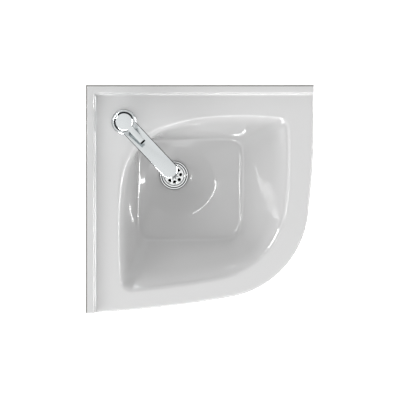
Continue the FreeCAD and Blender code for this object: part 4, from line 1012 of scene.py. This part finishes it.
def studio_sky():
    """A pale tent, brightest at a third of the way up and dark at the horizon."""
    world = bpy.data.worlds.new("studio")
    bpy.context.scene.world = world
    world.use_nodes = True
    tree = world.node_tree
    tree.nodes.clear()
    place = add_node(tree, "ShaderNodeTexCoord").outputs["Generated"]
    height = add_node(tree, "ShaderNodeSeparateXYZ", {"Vector": place}).outputs["Z"]
    ramp = add_node(tree, "ShaderNodeValToRGB", {"Fac": height})
    stops = ramp.color_ramp.elements
    while len(stops) < len(SKY):
        stops.new(1.0)
    for stop, (sine, share) in zip(stops, SKY):
        stop.position = sine
        stop.color = (share, share, share, 1.0)
    lean = add_node(tree, "ShaderNodeVectorMath", {0: place, 1: SKY_BIAS}, operation="DOT_PRODUCT")
    strength = add_node(tree, "ShaderNodeMath", {
        0: lean.outputs["Value"], 1: SKY_STRENGTH, 2: SKY_STRENGTH}, operation="MULTIPLY_ADD")
    sky = add_node(tree, "ShaderNodeBackground", {
        "Color": ramp.outputs["Color"], "Strength": strength.outputs["Value"]})
    white = add_node(tree, "ShaderNodeBackground", {"Color": srgb("FFFFFF"), "Strength": 1.0})
    add_node(tree, "ShaderNodeOutputWorld", {
        "Surface": seen_by_camera(tree, sky.outputs[0], white.outputs[0])})


def area_light(name, azimuth, elevation, width, height, power, glint):
    """A soft box aimed at the bowl, or a glint that only shows in the glaze and the chrome."""
    target = Vector((IMAGE_CENTRE.real, IMAGE_CENTRE.imag, 0.0))
    turn, rise = math.radians(azimuth), math.radians(elevation)
    flat = math.cos(rise)
    away = Vector((math.cos(turn) * flat, math.sin(turn) * flat, math.sin(rise)))
    data = bpy.data.lights.new(name, "AREA")
    data.shape = "RECTANGLE"
    data.size, data.size_y = width, height
    data.energy = power
    lamp = object_from(name, data)
    lamp.location = target + away * LIGHT_DISTANCE
    lamp.rotation_euler = away.to_track_quat("Z", "Y").to_euler()
    lamp.visible_camera = False
    lamp.visible_glossy = glint
    lamp.visible_diffuse = not glint


def pale_floor():
    """White to the camera but for a black disc of painted shade under the waste, pale as it lights
    the basin, and dark in its gloss.
    """
    material, tree = new_material("pale_floor")
    dull = add_node(tree, "ShaderNodeBsdfDiffuse", {"Color": srgb(FLOOR_LIT)})
    dark = add_node(tree, "ShaderNodeBsdfDiffuse", {"Color": srgb(FLOOR_MIRRORED)})
    in_gloss = add_node(tree, "ShaderNodeLightPath").outputs["Is Glossy Ray"]
    unseen = add_node(tree, "ShaderNodeMixShader", {
        0: in_gloss, 1: dull.outputs[0], 2: dark.outputs[0]})
    place = add_node(tree, "ShaderNodeTexCoord").outputs["Object"]
    from_waste = add_node(tree, "ShaderNodeVectorMath", {
        0: place, 1: (WASTE.real, WASTE.imag, FLOOR_Z)}, operation="DISTANCE").outputs["Value"]
    # Painted shade: black for the camera within the disc under the waste.
    bare = add_node(tree, "ShaderNodeMath", {0: from_waste, 1: SHADE_DISC_RADIUS},
                    operation="GREATER_THAN").outputs["Value"]
    matt = add_node(tree, "ShaderNodeBsdfDiffuse", {"Color": bare})
    glow = add_node(tree, "ShaderNodeEmission", {"Color": bare, "Strength": FLOOR_GLOW})
    both = add_node(tree, "ShaderNodeAddShader", {0: matt.outputs[0], 1: glow.outputs[0]})
    add_node(tree, "ShaderNodeOutputMaterial", {
        "Surface": seen_by_camera(tree, unseen.outputs[0], both.outputs[0])})
    return material


class BASIN_OT_stage(bpy.types.Operator):
    """Floor, soft boxes and the camera straight above"""
    bl_idname = "basin.stage"
    bl_label = "Stage"

    def execute(self, context):
        scene = context.scene
        scene.view_settings.view_transform = "Standard"
        studio_sky()
        for light in SOFT_BOXES:
            area_light(*light, glint=False)
        for light in GLINTS:
            area_light(*light, glint=True)
        floor_mesh = bpy.data.meshes.new("floor")
        corners = [(x * FLOOR_REACH, y * FLOOR_REACH, FLOOR_Z)
                   for x, y in ((-1, -1), (1, -1), (1, 1), (-1, 1))]
        floor_mesh.from_pydata(corners, [], [(0, 1, 2, 3)])
        floor_mesh.materials.append(pale_floor())
        object_from("floor", floor_mesh)
        data = bpy.data.cameras.new("camera")
        data.type = "ORTHO"
        data.ortho_scale = IMAGE_WIDTH
        camera = object_from("camera", data)
        camera.location = (IMAGE_CENTRE.real, IMAGE_CENTRE.imag, CAMERA_HEIGHT)
        scene.camera = camera
        return {"FINISHED"}


# --- Add-on ---
class BASIN_PT_panel(bpy.types.Panel):
    """Lists the basin's pieces and the stage in the sidebar"""
    bl_idname = "BASIN_PT_panel"
    bl_label = "Corner Basin"
    bl_space_type = "VIEW_3D"
    bl_region_type = "UI"
    bl_category = "Basin"

    def draw(self, context):
        for key in SETTINGS:
            settings, box = getattr(context.scene, key), self.layout.box()
            for name in settings.bl_rna.properties.keys():
                if name not in ("rna_type", "name"):
                    box.prop(settings, name)
        for operator in OPERATORS:
            self.layout.operator(operator.bl_idname)


SETTINGS = {
    "basin_china": BasinChinaSettings,
    "basin_waste": BasinWasteSettings,
    "basin_tap": BasinTapSettings,
}
OPERATORS = (BASIN_OT_china, BASIN_OT_waste, BASIN_OT_tap, BASIN_OT_inner_pieces, BASIN_OT_stage)


def register():
    for kind in (*SETTINGS.values(), *OPERATORS, BASIN_PT_panel):
        bpy.utils.register_class(kind)
    for name, kind in SETTINGS.items():
        setattr(bpy.types.Scene, name, PointerProperty(type=kind))


def unregister():
    for name in SETTINGS:
        delattr(bpy.types.Scene, name)
    for kind in reversed((*SETTINGS.values(), *OPERATORS, BASIN_PT_panel)):
        bpy.utils.unregister_class(kind)


def main():
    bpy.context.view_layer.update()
    register()
    bpy.ops.basin.china()
    bpy.ops.basin.waste()
    bpy.ops.basin.tap()
    bpy.ops.basin.inner_pieces()
    bpy.ops.basin.stage()


if __name__ == "__main__":
    main()
